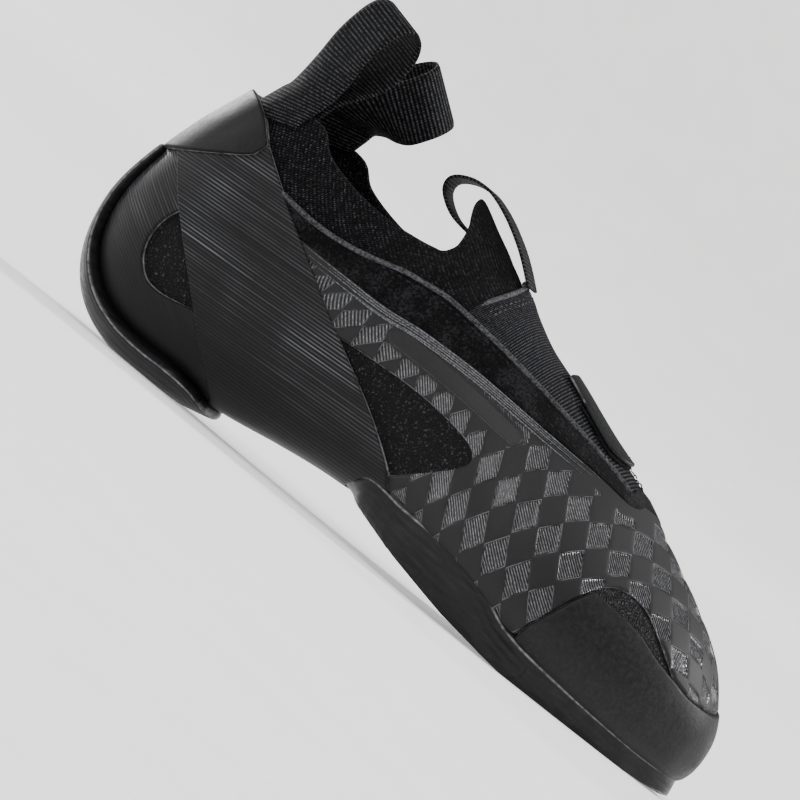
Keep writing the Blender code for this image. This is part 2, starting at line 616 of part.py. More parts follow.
def build_loops():
    patch_loop = outline(edge(BAND_TOP), edge(PATCH_EDGE), straight([(-0.08, 0.50)]))
    for name, turn, depth, lean, droop in (
            ("heel_loop_lateral", math.pi + 0.575, LOOP_DEPTH,
             (0.14, -0.12, 0.90), (-0.85, 0.50, 0.16)),
            ("heel_loop_medial", -0.575, LOOP_DEPTH,
             (0.40, 0.20, 0.66), (0.74, 0.32, -0.60))):
        made = heel_loop(name, turn, depth, lean, droop)
        clear(made, BAND)
        clear(made, patch_loop)

    line = np.array(edge(FRONT_LOOP, 2))
    middle = 0.005 * BALL_WIDTH
    half = FRONT_LOOP_WIDTH / 2
    lines = [[(x, middle + half * step, z) for step in (-1, 0, 1)] for x, z in line]
    strap("front_loop", lines, FRONT_LOOP_THICKNESS)


def stand():
    # The middle of the shoe's box comes over the origin, with the floor at zero
    lows, highs = [], []
    for made in bpy.data.objects:
        points = np.array([v.co[:] for v in made.data.vertices])
        lows.append(points.min(axis=0))
        highs.append(points.max(axis=0))
    low = np.min(lows, axis=0)
    high = np.max(highs, axis=0)
    shift = np.array([-(low[0] + high[0]) / 2, -(low[1] + high[1]) / 2, -low[2]])
    for made in bpy.data.objects:
        for vertex in made.data.vertices:
            vertex.co = vertex.co + type(vertex.co)(shift)


build_upper()
build_insole()
build_overlays()
build_heel()
build_outsole()
build_tab()
build_loops()
stand()
for made in bpy.data.objects:
    made.data.shade_smooth()
    made.data.set_sharp_from_angle(angle=math.radians(35))
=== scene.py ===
import functools
import json
import math

import bmesh
import bpy
import numpy as np
from mathutils import Matrix, Vector, kdtree

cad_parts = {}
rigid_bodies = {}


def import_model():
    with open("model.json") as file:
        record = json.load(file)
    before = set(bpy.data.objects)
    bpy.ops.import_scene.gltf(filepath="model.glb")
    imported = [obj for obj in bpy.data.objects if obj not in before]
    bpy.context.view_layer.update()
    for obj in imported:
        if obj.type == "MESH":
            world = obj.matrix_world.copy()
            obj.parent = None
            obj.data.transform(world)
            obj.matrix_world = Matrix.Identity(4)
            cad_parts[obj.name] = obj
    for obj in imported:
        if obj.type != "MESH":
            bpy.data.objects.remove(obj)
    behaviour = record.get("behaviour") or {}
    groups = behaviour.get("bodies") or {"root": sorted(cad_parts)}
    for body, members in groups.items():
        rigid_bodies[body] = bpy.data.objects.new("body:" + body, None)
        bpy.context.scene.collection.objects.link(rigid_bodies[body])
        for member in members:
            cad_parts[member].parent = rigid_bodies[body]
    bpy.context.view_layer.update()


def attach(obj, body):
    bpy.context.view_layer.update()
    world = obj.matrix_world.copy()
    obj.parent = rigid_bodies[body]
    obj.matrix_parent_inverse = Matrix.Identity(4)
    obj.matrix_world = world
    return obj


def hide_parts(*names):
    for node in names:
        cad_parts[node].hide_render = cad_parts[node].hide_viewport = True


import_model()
bpy.ops.object.select_all(action="DESELECT")
print("stage: frame loaded", flush=True)

mm = 0.001

# Where the foot form's heel lies in the shoe's own axes, in metres
shoeShift = np.array([-0.12053, -0.00113, 0.0])

# The photograph's view: a long lens from the outer side, a little from the front and above.
# The camera is rolled, because the shoe is pictured with its toe down.
view = {"azimuth": 17.1, "elevation": 1.0, "roll": 39.0, "distance": 3.0, "across": 0.2455,
        "target": (-0.0137, 0.0, 0.0441)}


def makeCamera():
    azimuth = math.radians(view["azimuth"])
    elevation = math.radians(view["elevation"])
    back = Vector((math.sin(azimuth) * math.cos(elevation),
                   -math.cos(azimuth) * math.cos(elevation), math.sin(elevation)))
    right = Vector((math.cos(azimuth), math.sin(azimuth), 0.0))
    up = back.cross(right)
    roll = math.radians(view["roll"])
    turnedRight = right * math.cos(roll) + up * math.sin(roll)
    turnedUp = up * math.cos(roll) - right * math.sin(roll)
    data = bpy.data.cameras.new("shoeCamera")
    data.sensor_width = 36
    data.lens = 36 * view["distance"] / view["across"]
    data.clip_start = 0.05
    camera = bpy.data.objects.new("shoeCamera", data)
    spot = Vector(view["target"]) + back * view["distance"]
    axes = Matrix((turnedRight, turnedUp, back)).transposed()
    camera.matrix_world = Matrix.Translation(spot) @ axes.to_4x4()
    bpy.context.scene.collection.objects.link(camera)
    bpy.context.scene.camera = camera


makeCamera()

# The foot form: the same sections as the solids, from the toe tip round the heel to the collar
lastSize = {"length": 0.246, "ball": 0.088, "heel": 0.058, "height": 0.088, "sole": 0.0049}
lastRows = np.array((
    # backX, backZ, frontX, frontZ, heelMix, half, centre, lean, widest, lowPower, highPower
    (1.000, 0.108, 1.000, 0.122, 0.0, 0.012, 0.225, 0.00, 0.50, 2.2, 2.2),
    (0.994, 0.052, 0.995, 0.189, 0.0, 0.085, 0.222, 0.00, 0.46, 2.3, 2.2),
    (0.985, 0.028, 0.985, 0.257, 0.0, 0.160, 0.212, 0.01, 0.42, 2.4, 2.2),
    (0.965, 0.013, 0.963, 0.348, 0.0, 0.233, 0.190, 0.02, 0.38, 2.5, 2.1),
    (0.935, 0.004, 0.931, 0.442, 0.0, 0.307, 0.155, 0.03, 0.35, 2.7, 2.0),
    (0.890, 0.000, 0.878, 0.535, 0.0, 0.381, 0.108, 0.04, 0.32, 2.8, 1.9),
    (0.837, 0.000, 0.813, 0.628, 0.0, 0.443, 0.062, 0.05, 0.30, 2.9, 1.8),
    (0.772, 0.007, 0.744, 0.723, 0.0, 0.486, 0.020, 0.05, 0.28, 3.0, 1.7),
    (0.703, 0.026, 0.671, 0.791, 0.0, 0.497, -0.014, 0.05, 0.27, 3.0, 1.65),
    (0.634, 0.060, 0.602, 0.861, 0.2, 0.494, -0.028, 0.05, 0.27, 2.9, 1.65),
    (0.561, 0.106, 0.549, 0.908, 0.45, 0.480, -0.031, 0.04, 0.28, 2.8, 1.7),
    (0.492, 0.120, 0.508, 0.964, 0.7, 0.478, -0.028, 0.03, 0.30, 2.7, 1.75),
    (0.423, 0.110, 0.487, 1.000, 0.9, 0.492, -0.022, 0.02, 0.33, 2.6, 1.8),
    (0.350, 0.082, 0.470, 1.018, 1.0, 0.500, -0.017, 0.01, 0.36, 2.5, 1.85),
    (0.272, 0.044, 0.453, 1.042, 1.0, 0.500, -0.011, 0.01, 0.38, 2.4, 1.9),
    (0.187, 0.015, 0.439, 1.061, 1.0, 0.500, -0.006, 0.00, 0.40, 2.4, 2.0),
    (0.106, 0.022, 0.427, 1.078, 1.0, 0.500, 0.000, 0.00, 0.41, 2.3, 2.1),
    (0.048, 0.076, 0.415, 1.094, 1.0, 0.492, 0.000, 0.00, 0.42, 2.2, 2.2),
    (0.011, 0.193, 0.404, 1.108, 1.0, 0.487, 0.000, 0.00, 0.42, 2.2, 2.2),
    (-0.005, 0.365, 0.394, 1.121, 1.0, 0.483, 0.000, 0.00, 0.42, 2.2, 2.2),
    (0.000, 0.547, 0.384, 1.135, 1.0, 0.474, 0.000, 0.00, 0.42, 2.2, 2.2),
    (0.017, 0.723, 0.374, 1.149, 1.0, 0.465, 0.000, 0.00, 0.42, 2.2, 2.2),
    (0.038, 0.870, 0.364, 1.162, 1.0, 0.457, 0.000, 0.00, 0.42, 2.2, 2.2),
    (0.068, 1.069, 0.347, 1.184, 1.0, 0.448, 0.000, 0.00, 0.42, 2.2, 2.2),
))
lastEnd = len(lastRows) - 1
sweep = 0.325  # panel lines run forward by this share of their distance from the middle


def spline(rows, places):
    # Catmull-Rom values of the rows at fractional row numbers
    rows = np.asarray(rows, float)
    places = np.clip(np.asarray(places, float), 0, len(rows) - 1)
    low = np.minimum(places.astype(int), len(rows) - 2)
    part = (places - low)[..., None]
    before = rows[np.maximum(low - 1, 0)]
    start = rows[low]
    end = rows[low + 1]
    after = rows[np.minimum(low + 2, len(rows) - 1)]
    return 0.5 * (2 * start + (end - before) * part
                  + (2 * before - 5 * start + 4 * end - after) * part ** 2
                  + (3 * start - before - 3 * end + after) * part ** 3)


def lastPoint(row, turn):
    # turn: -90 degrees under the sole or behind the heel, 0 inner side, 90 instep, 180 outer side
    row, turn = np.broadcast_arrays(np.asarray(row, float), np.asarray(turn, float))
    backX, backZ, frontX, frontZ, mix, half, centre, lean, widest, lowPower, highPower = \
        np.moveaxis(spline(lastRows, row), -1, 0)
    width = lastSize["ball"] + (lastSize["heel"] - lastSize["ball"]) * np.clip(mix, 0, 1)
    up = np.sin(turn)
    aside = np.cos(turn)
    power = 2 / np.where(up >= 0, highPower, lowPower)
    reach = np.where(up >= 0, 1 - widest, widest)
    along = widest + np.sign(up) * reach * np.abs(up) ** power
    shrink = np.where(row < 0, np.sqrt(np.clip(1 + row, 0, 1)), 1.0)
    along = np.where(row < 0, 0.5 + (along - 0.5) * shrink, along)
    y = (np.sign(aside) * np.abs(aside) ** power * half * width * shrink
         + (centre + lean * along) * lastSize["ball"])
    x = (backX + (frontX - backX) * along) * lastSize["length"]
    z = lastSize["sole"] + (backZ + (frontZ - backZ) * along) * lastSize["height"]
    return np.stack([x, y, z], axis=-1)


def lastNormal(row, turn):
    row, turn = np.broadcast_arrays(np.asarray(row, float), np.asarray(turn, float))
    low = np.clip(row - 0.04, -0.97, lastEnd)
    high = np.clip(row + 0.04, -0.97, lastEnd)
    lengthways = lastPoint(high, turn) - lastPoint(low, turn)
    sideways = lastPoint(row, turn + 0.03) - lastPoint(row, turn - 0.03)
    normal = np.cross(lengthways, sideways)
    normal = normal / np.maximum(np.linalg.norm(normal, axis=-1, keepdims=True), 1e-12)
    return np.where((row < -0.995)[..., None], (0.994, 0.02, 0.105), normal)


def lastSurface(row, turn, offset):
    return lastPoint(row, turn) + lastNormal(row, turn) * np.asarray(offset, float)[..., None]


def sideEdge(points, steps=6):
    # A smooth line through side-view points given as shares, in metres
    places = np.linspace(0, len(points) - 1, (len(points) - 1) * steps + 1)
    return sideStraight(spline(points, places))


def sideStraight(points):
    points = np.asarray(points, float)
    return np.stack([points[:, 0] * lastSize["length"],
                     lastSize["sole"] + points[:, 1] * lastSize["height"]], axis=1)


def sideLoop(*edges):
    loop = np.vstack(edges)
    keep = np.linalg.norm(loop - np.roll(loop, 1, axis=0), axis=1) > 1e-5
    return loop[keep]


def loopDistance(points, loop):
    # Signed distance in the side or plan view from points to a closed line, positive inside
    best = np.full(points.shape[:-1], 1e9)
    inside = np.zeros(points.shape[:-1], bool)
    px, pz = points[..., 0], points[..., 1]
    for (ax, az), (bx, bz) in zip(loop, np.roll(loop, -1, axis=0)):
        dx, dz = bx - ax, bz - az
        share = np.clip(((px - ax) * dx + (pz - az) * dz) / (dx * dx + dz * dz), 0, 1)
        best = np.minimum(best, (px - ax - share * dx) ** 2 + (pz - az - share * dz) ** 2)
        if az != bz:
            crosses = ((az > pz) != (bz > pz)) & (px < (bx - ax) * (pz - az) / (bz - az) + ax)
            inside ^= crosses
    return np.where(inside, 1, -1) * np.sqrt(best)


def sidePlaces(points):
    # Side-view places of surface points, with the sweep of the panel lines taken out
    return np.stack([points[..., 0] - sweep * np.abs(points[..., 1]), points[..., 2]], axis=-1)


# Panel edges in the side view, the same lines as the solids'
below, above, frontEnd, rearEnd = -0.40, 1.60, 1.35, -0.25
lines = {
    "collar": ((0.020, 1.030), (0.085, 1.025), (0.135, 1.016), (0.165, 0.955), (0.219, 0.920),
               (0.271, 0.912), (0.323, 0.928), (0.356, 0.947)),
    "tongue": ((0.356, 0.947), (0.365, 0.985), (0.366, 1.015), (0.363, 1.072), (0.356, 1.118),
               (0.352, 1.158), (0.356, 1.188), (0.366, 1.212)),
    "bandTop": ((-0.080, 0.955), (0.042, 0.955), (0.096, 0.845)),
    "bandFront": ((0.096, 0.845), (0.155, 0.741), (0.213, 0.650), (0.271, 0.560),
                  (0.323, 0.483), (0.414, 0.357), (0.479, 0.246), (0.494, 0.205)),
    "bandRear": ((0.239, 0.055), (0.197, 0.145), (0.151, 0.248), (0.057, 0.476), (0.009, 0.624)),
    "cupWindow": ((0.057, 0.476), (0.049, 0.417), (0.048, 0.345), (0.057, 0.276),
                  (0.077, 0.225), (0.098, 0.214), (0.122, 0.222), (0.152, 0.243)),
    "patch": ((0.096, 0.845), (0.092, 0.805), (0.080, 0.765), (0.009, 0.627), (-0.060, 0.500)),
    "bindingTop": ((0.120, 0.760), (0.168, 0.743), (0.219, 0.738), (0.271, 0.755),
                   (0.323, 0.790), (0.349, 0.807), (0.401, 0.821), (0.453, 0.812),
                   (0.505, 0.797), (0.608, 0.757), (0.686, 0.721), (0.742, 0.688)),
    "bindingInner": ((0.742, 0.688), (0.744, 0.707), (0.737, 0.740), (0.715, 0.790),
                     (0.690, 0.860), (0.680, 0.980)),
    "bindingOuter": ((0.740, 1.010), (0.734, 0.850), (0.748, 0.780), (0.762, 0.740),
                     (0.769, 0.694), (0.764, 0.662), (0.748, 0.652)),
    "bindingLow": ((0.748, 0.652), (0.686, 0.666), (0.608, 0.673), (0.531, 0.683),
                   (0.479, 0.687), (0.401, 0.680), (0.349, 0.663), (0.271, 0.659),
                   (0.190, 0.659)),
    "bindingMiddle": ((0.190, 0.700), (0.349, 0.735), (0.479, 0.750), (0.608, 0.715),
                      (0.725, 0.672), (0.757, 0.690), (0.748, 0.745), (0.725, 0.800),
                      (0.712, 0.900), (0.708, 1.300)),
    "elasticSeam": ((0.429, 0.720), (0.440, 0.873), (0.459, 0.959), (0.479, 1.045),
                    (0.500, 1.150)),
    "sideWindow": ((0.330, 0.487), (0.401, 0.504), (0.453, 0.509), (0.505, 0.500),
                   (0.541, 0.480), (0.554, 0.445), (0.550, 0.411), (0.537, 0.366),
                   (0.511, 0.297), (0.487, 0.235)),
    "toeRear": ((0.722, -0.200), (0.739, 0.107), (0.746, 0.169), (0.755, 0.225),
                (0.767, 0.297), (0.780, 0.359)),
    "toeArch": ((0.780, 0.359), (0.788, 0.387), (0.801, 0.411), (0.822, 0.425),
                (0.839, 0.423), (0.859, 0.407), (0.894, 0.356), (0.933, 0.291)),
    "toeFront": ((0.933, 0.291), (0.978, 0.266), (1.013, 0.278), (1.120, 0.300)),
    "randTop": ((0.780, 0.359), (0.803, 0.357), (0.842, 0.350), (0.868, 0.337),
                (0.900, 0.310), (0.933, 0.291)),
    "soleTop": ((0.440, -0.090), (0.438, 0.075), (0.443, 0.135), (0.459, 0.200),
                (0.479, 0.216), (0.511, 0.213), (0.544, 0.201), (0.608, 0.178),
                (0.660, 0.152), (0.712, 0.111), (0.738, 0.099), (0.816, 0.073),
                (0.894, 0.056), (0.997, 0.045), (1.060, 0.070)),
    "strip": ((0.375, 0.607), (0.384, 0.622), (0.401, 0.628), (0.480, 0.627), (0.560, 0.611),
              (0.581, 0.600), (0.583, 0.588), (0.571, 0.581), (0.490, 0.594), (0.400, 0.596),
              (0.381, 0.597), (0.375, 0.607)),
}
curve = {name: sideEdge(points) for name, points in lines.items()}
regions = {
    "opening": sideLoop(curve["collar"], curve["tongue"],
                        sideStraight([(0.40, 1.35), (0.40, above), (rearEnd, above),
                                      (rearEnd, 1.03)])),
    "band": sideLoop(curve["bandTop"], curve["bandFront"],
                     sideStraight([(0.56, 0.10), (0.56, below), (0.25, below)]),
                     curve["bandRear"], sideStraight([(-0.080, 0.640)])),
    "cup": sideLoop(curve["bandRear"],
                    sideStraight([(-0.02, 0.75), (rearEnd, 0.75), (rearEnd, below),
                                  (0.25, below)])),
    "cupWindow": sideLoop(curve["cupWindow"], sideStraight([(0.20, 0.25), (0.10, 0.50)])),
    "patch": sideLoop(curve["bandTop"], curve["patch"], sideStraight([(-0.08, 0.50)])),
    "binding": sideLoop(curve["bindingTop"], curve["bindingInner"], curve["bindingOuter"],
                        curve["bindingLow"]),
    "elastic": sideLoop(curve["elasticSeam"], sideStraight([(0.50, above), (0.708, above)]),
                        sideStraight([(0.712, 0.900), (0.725, 0.800), (0.750, 0.740),
                                      (0.750, 0.685), (0.608, 0.715), (0.479, 0.750)])),
    "overlay": sideLoop(curve["bindingMiddle"],
                        sideStraight([(0.708, above), (frontEnd, above), (frontEnd, below),
                                      (0.44, below), (0.38, 0.25), (0.19, 0.55)])),
    "toe": sideLoop(curve["toeRear"], curve["toeArch"], curve["toeFront"],
                    sideStraight([(frontEnd, 0.30), (frontEnd, below), (0.722, below)])),
    "rand": sideLoop(curve["toeRear"], curve["randTop"], curve["toeFront"],
                     sideStraight([(frontEnd, 0.30), (frontEnd, below), (0.722, below)])),
    "soleSide": sideLoop(curve["soleTop"],
                         sideStraight([(frontEnd, 0.07), (frontEnd, below), (0.44, below)])),
    "sideWindow": sideLoop(curve["sideWindow"], sideStraight([(0.45, 0.20), (0.30, 0.46)])),
    "strip": sideLoop(curve["strip"]),
}


def region(name):
    # Field that gives the distance inside a region, over surface points
    return lambda points: loopDistance(sidePlaces(points), regions[name])


def evenPlaces(low, high, pointAt, cell):
    # Numbers from low to high whose surface steps are about one cell
    fine = np.linspace(low, high, 600)
    points = pointAt(fine)
    steps = np.linalg.norm(np.diff(points, axis=0), axis=-1).max(axis=-1)
    length = np.concatenate([[0], np.cumsum(steps)])
    count = max(int(length[-1] / cell), 3) + 1
    return np.interp(np.linspace(0, length[-1], count), length, fine)


def placesOnForm(rowRange, turnRange, cell):
    # Row and turn numbers that walk the form in even steps
    crossTurns = np.radians([-90.0, -20.0, 40.0, 90.0, 140.0, 200.0])
    rows = evenPlaces(*rowRange, lambda rows: lastPoint(rows[:, None], crossTurns), cell)
    crossRows = np.linspace(max(rowRange[0], 1.0), rowRange[1], 7)
    turns = evenPlaces(*turnRange, lambda turns: lastPoint(crossRows, turns[:, None]), cell)
    return rows, turns


def splitAt(tris, params, depth, level, dropOutside=False):
    # Cuts triangles along one level of the depth
    sign = depth > level
    code = sign[tris]
    count = code.sum(axis=1)
    whole = tris[count == 3] if dropOutside else tris[(count == 3) | (count == 0)]
    mixed = tris[(count == 1) | (count == 2)]
    mixedCode = sign[mixed]
    odd = np.where(mixedCode.sum(axis=1) == 1, mixedCode.argmax(axis=1),
                   (~mixedCode).argmax(axis=1))
    order = (odd[:, None] + np.arange(3)) % 3
    a, b, c = np.take_along_axis(mixed, order, axis=1).T
    pairs = np.sort(np.concatenate([np.stack([a, b], 1), np.stack([a, c], 1)]), axis=1)
    unique, where = np.unique(pairs, axis=0, return_inverse=True)
    where = where.reshape(-1)
    share = (level - depth[unique[:, 0]]) / (depth[unique[:, 1]] - depth[unique[:, 0]])
    share = np.clip(share, 0.03, 0.97)[:, None]
    fresh = params[unique[:, 0]] * (1 - share) + params[unique[:, 1]] * share
    first = len(params)
    params = np.vstack([params, fresh])
    depth = np.concatenate([depth, np.full(len(fresh), level)])
    ab = first + where[:len(a)]
    ac = first + where[len(a):]
    oddInside = sign[a]
    tip = np.stack([a, ab, ac], 1)
    wide = np.vstack([np.stack([ab, b, c], 1), np.stack([ab, c, ac], 1)])
    if dropOutside:
        parts = [whole, tip[oddInside], wide[np.concatenate([~oddInside, ~oddInside])]]
    else:
        parts = [whole, tip, wide]
    return np.vstack(parts), params, depth


def meshPiece(name, points, faces, uv=None, extra=None):
    mesh = bpy.data.meshes.new(name)
    mesh.vertices.add(len(points))
    mesh.vertices.foreach_set("co", np.asarray(points, np.float32).ravel())
    faces = np.asarray(faces, np.int32)
    size = faces.shape[1]
    mesh.loops.add(faces.size)
    mesh.loops.foreach_set("vertex_index", faces.ravel())
    mesh.polygons.add(len(faces))
    mesh.polygons.foreach_set("loop_start", np.arange(0, faces.size, size, dtype=np.int32))
    mesh.update(calc_edges=True)
    mesh.validate()
    mesh.polygons.foreach_set("use_smooth", np.ones(len(mesh.polygons), bool))
    if uv is not None:
        layer = mesh.uv_layers.new(name="surface")
        index = np.zeros(len(mesh.loops), np.int32)
        mesh.loops.foreach_get("vertex_index", index)
        layer.data.foreach_set("uv", np.asarray(uv, np.float32)[index].ravel())
    for key, values in (extra or {}).items():
        attribute = mesh.attributes.new(key, "FLOAT", "POINT")
        attribute.data.foreach_set("value", np.asarray(values, np.float32))
    made = bpy.data.objects.new(name, mesh)
    bpy.context.scene.collection.objects.link(made)
    return made


def weld(points, faces, pieces):
    # Merges points that lie on each other, where the form closes on itself
    key = np.round(points / 2e-6).astype(np.int64)
    _, first, where = np.unique(key, axis=0, return_index=True, return_inverse=True)
    where = where.reshape(-1)
    faces = where[faces]
    good = ((faces[:, 0] != faces[:, 1]) & (faces[:, 1] != faces[:, 2])
            & (faces[:, 2] != faces[:, 0]))
    return points[first], faces[good], [values[first] for values in pieces]


fullTurn = (math.radians(-90), math.radians(270))


def lip(depth, low, high, radius):
    # Height of a rounded edge at a distance from it
    inner = np.clip(depth / radius, 0, 1)
    return low + (high - low) * np.sqrt(np.clip(1 - (1 - inner) ** 2, 0, 1))


def heights(face, rows, turns, depth, bare):
    # A face's heights over the form, from one height in mm, from a rounded edge as its low
    # height, high height and radius in mm, or from a function, which may give points instead
    if callable(face):
        return face(rows, turns, depth, bare)
    if isinstance(face, tuple):
        return lip(depth, *np.multiply(face, mm))
    return np.full(depth.shape, face * mm)


def skin(name, field, top, under, rowRange=(-1.0, lastEnd), turnRange=fullTurn, cell=0.0012,
         levels=(0.00012, 0.0003, 0.0006, 0.0011), uvAt=None, marks=None):
    # A thick sheet on the form where field is positive, with the heights of its two faces.
    # marks are values for the finish, and levels are depths at which the mesh is cut finer.
    rows, turns = placesOnForm(rowRange, turnRange, cell)
    rowGrid, turnGrid = np.meshgrid(rows, turns, indexing="ij")
    points = lastPoint(rowGrid, turnGrid)
    depth = field(points)
    slopes = [np.gradient(depth, axis=way) / np.maximum(
        np.linalg.norm(np.gradient(points, axis=way), axis=-1), 1e-7) for way in (0, 1)]
    depth = depth / np.clip(np.hypot(*slopes), 0.35, 1.0)
    if turnRange == fullTurn:
        depth[:, -1] = depth[:, 0]
    params = np.stack([rowGrid, turnGrid], axis=-1).reshape(-1, 2)
    depth = depth.ravel()
    index = np.arange(rowGrid.size).reshape(rowGrid.shape)
    a, b = index[:-1, :-1].ravel(), index[:-1, 1:].ravel()
    c, d = index[1:, 1:].ravel(), index[1:, :-1].ravel()
    tris = np.vstack([np.stack([a, c, b], 1), np.stack([a, d, c], 1)])
    tris = tris[(depth[tris] > -0.004).any(axis=1)]
    tris, params, depth = splitAt(tris, params, depth, 0.0, dropOutside=True)
    for level in levels:
        tris, params, depth = splitAt(tris, params, depth, level)
    used, where = np.unique(tris, return_inverse=True)
    tris = where.reshape(tris.shape)
    params, depth = params[used], np.maximum(depth[used], 0)
    bare = lastPoint(*params.T)
    upper, lower = [heights(face, *params.T, depth, bare) for face in (top, under)]
    upper, lower = [lastSurface(*params.T, face) if face.ndim == 1 else face
                    for face in (upper, lower)]
    values = [depth.copy(), uvAt(params, bare) if uvAt else np.zeros((len(depth), 2))]
    values += [mark(params, bare, depth) for mark in (marks or {}).values()]
    # Each open edge gets a wall, and the underside mirrors the top
    edges = np.vstack([tris[:, [0, 1]], tris[:, [1, 2]], tris[:, [2, 0]]])
    key = np.round(bare / 2e-6).astype(np.int64)
    _, place = np.unique(key, axis=0, return_inverse=True)
    place = place.reshape(-1)
    pair = np.sort(place[edges], axis=1)
    _, back, times = np.unique(pair, axis=0, return_inverse=True, return_counts=True)
    rim = edges[(times[back.reshape(-1)] == 1) & (pair[:, 0] != pair[:, 1])]
    count = len(upper)
    walls = np.vstack([np.stack([rim[:, 1], rim[:, 0], rim[:, 0] + count], 1),
                       np.stack([rim[:, 1], rim[:, 0] + count, rim[:, 1] + count], 1)])
    faces = np.vstack([tris, tris[:, ::-1] + count, walls])
    points = np.vstack([upper, lower]) + shoeShift
    # How far each top point lies from the rim, for wear that follows the cut edge
    rimPoints = upper[np.unique(rim)]
    tree = kdtree.KDTree(len(rimPoints))
    for number, spot in enumerate(rimPoints):
        tree.insert(spot, number)
    tree.balance()
    for number in np.flatnonzero(depth < 0.003):
        values[0][number] = tree.find(upper[number])[2]
    values = [np.concatenate([value, value]) for value in values]
    values[0][count:] = np.maximum(values[0][count:], np.linalg.norm(upper - lower, axis=1))
    points, faces, values = weld(points, faces, values)
    extra = {"edge": values[0], **dict(zip(marks or {}, values[2:]))}
    return meshPiece(name, points, faces, values[1], extra)


# Finishes

def hexColour(code):
    # sRGB hex to the linear colour that a shader takes
    parts = [int(code[i:i + 2], 16) / 255 for i in (1, 3, 5)]
    return (*[p / 12.92 if p <= 0.04045 else ((p + 0.055) / 1.055) ** 2.4 for p in parts], 1.0)


def setNode(node, values):
    # values name properties, a ramp's stops and sockets. A node or an output is linked.
    links = node.id_data.links
    for key, value in values.items():
        if isinstance(value, bpy.types.Node):
            links.new(value.outputs[0], node.inputs[key])
        elif isinstance(value, bpy.types.NodeSocket):
            links.new(value, node.inputs[key])
        elif key == "stops":
            while len(node.color_ramp.elements) < len(value):
                node.color_ramp.elements.new(0.5)
            for element, (place, code) in zip(node.color_ramp.elements, value):
                element.position = place
                element.color = hexColour(code)
        elif isinstance(key, str) and hasattr(node, key):
            setattr(node, key, value)
        else:
            node.inputs[key].default_value = hexColour(value) if isinstance(value, str) else value


def addNode(tree, kind, values=None):
    # Adds one node with its settings and links. Its kind may be followed by its operation.
    kind, _, operation = kind.partition(" ")
    made = tree.nodes.new("ShaderNode" + kind)
    if operation:
        made.operation = operation
    setNode(made, values or {})
    return made


def newFinish(name, specular, sheen=0.0):
    # A material, addNode for its tree, its shader, and the places on the shoe in millimetres
    finish = bpy.data.materials.new(name)
    finish.use_nodes = True
    finish.node_tree.nodes.clear()
    add = functools.partial(addNode, finish.node_tree)
    shader = add("BsdfPrincipled", {"Specular IOR Level": specular, "Sheen Weight": sheen})
    add("OutputMaterial", {"Surface": shader})
    here = add("TexCoord").outputs["Object"]
    return finish, add, shader, add("Mapping", {"Scale": (1000, 1000, 1000), "Vector": here})


def surfaceMap(add):
    # The two parts of the piece's own map in millimetres: across and along
    parts = add("SeparateXYZ", {"Vector": add("UVMap", {"uv_map": "surface"})})
    return parts.outputs["X"], parts.outputs["Y"]


def patchy(add, places, scale, detail, low, high, least=0.0):
    # Noise between two levels, drawn out to run from least to 1
    noise = add("TexNoise", {"Scale": scale, "Detail": detail, "Vector": places})
    return add("MapRange", {"Value": noise, "From Min": low, "From Max": high, "To Min": least})


def ripple(add, distance, pitch):
    # Even waves along a distance
    return add("Math SINE", {0: add("Math MULTIPLY", {0: distance, 1: 2 * math.pi / pitch})})


def worn(add, places, colour, pale, width):
    # The colour, rubbed pale within a width in millimetres of the cut edge, broken up by grain
    near = add("Attribute", {"attribute_name": "edge"}).outputs["Fac"]
    fade = add("MapRange", {"Value": near, "From Max": width * 0.001, "To Min": 0.8, "To Max": 0.0})
    rubbed = add("Math MULTIPLY", {0: fade, 1: patchy(add, places, 0.5, 4, 0.35, 0.65, 0.2)})
    return add("Mix", {"data_type": "RGBA", 0: rubbed, 6: colour, 7: pale}).outputs[2]


def finishOff(add, shader, colour, roughness, height, depth):
    # Gives the shader its colour, its roughness and a relief, whose depth is in millimetres
    bump = add("Bump", {"Strength": 1.0, "Distance": depth * 0.001, "Height": height})
    setNode(shader, {"Base Color": colour, "Roughness": roughness, "Normal": bump})


def knitFinish():
    # Polyester knitted on a circular machine: a dull dark ground with rows of small stitches,
    # painted paler on their raised tops as a painted highlight. They are half as coarse again as the
    # real ones, so that they show.
    finish, add, shader, places = newFinish("knittedPolyester", 0.05, 0.04)
    wale, course = 1.2, 0.95
    u, v = surfaceMap(add)
    across = add("Math DIVIDE", {0: u, 1: wale})
    lean = add("Math PINGPONG", {0: add("Math FRACT", {0: across}), 1: 0.5})
    down = add("Math MULTIPLY_ADD", {0: lean, 1: 1.1, 2: add("Math DIVIDE", {0: v, 1: course})})
    stitch = add("Math MULTIPLY_ADD", {0: ripple(add, across, 1), 1: 0.6, 2: ripple(add, down, 1)})
    height = add("MapRange", {"Value": stitch, "From Min": -1.3, "From Max": 1.5})
    light = add("Math MULTIPLY", {0: height, 1: patchy(add, places, 1.1, 3, 0.32, 0.66, 0.15)})
    colour = add("ValToRGB", {"Fac": light, "stops": (
        (0.02, "#020202"), (0.3, "#08080a"), (0.6, "#1c1c1f"), (0.95, "#4c4c52"))})
    finishOff(add, shader, colour, 0.9, height, 0.4)
    return finish


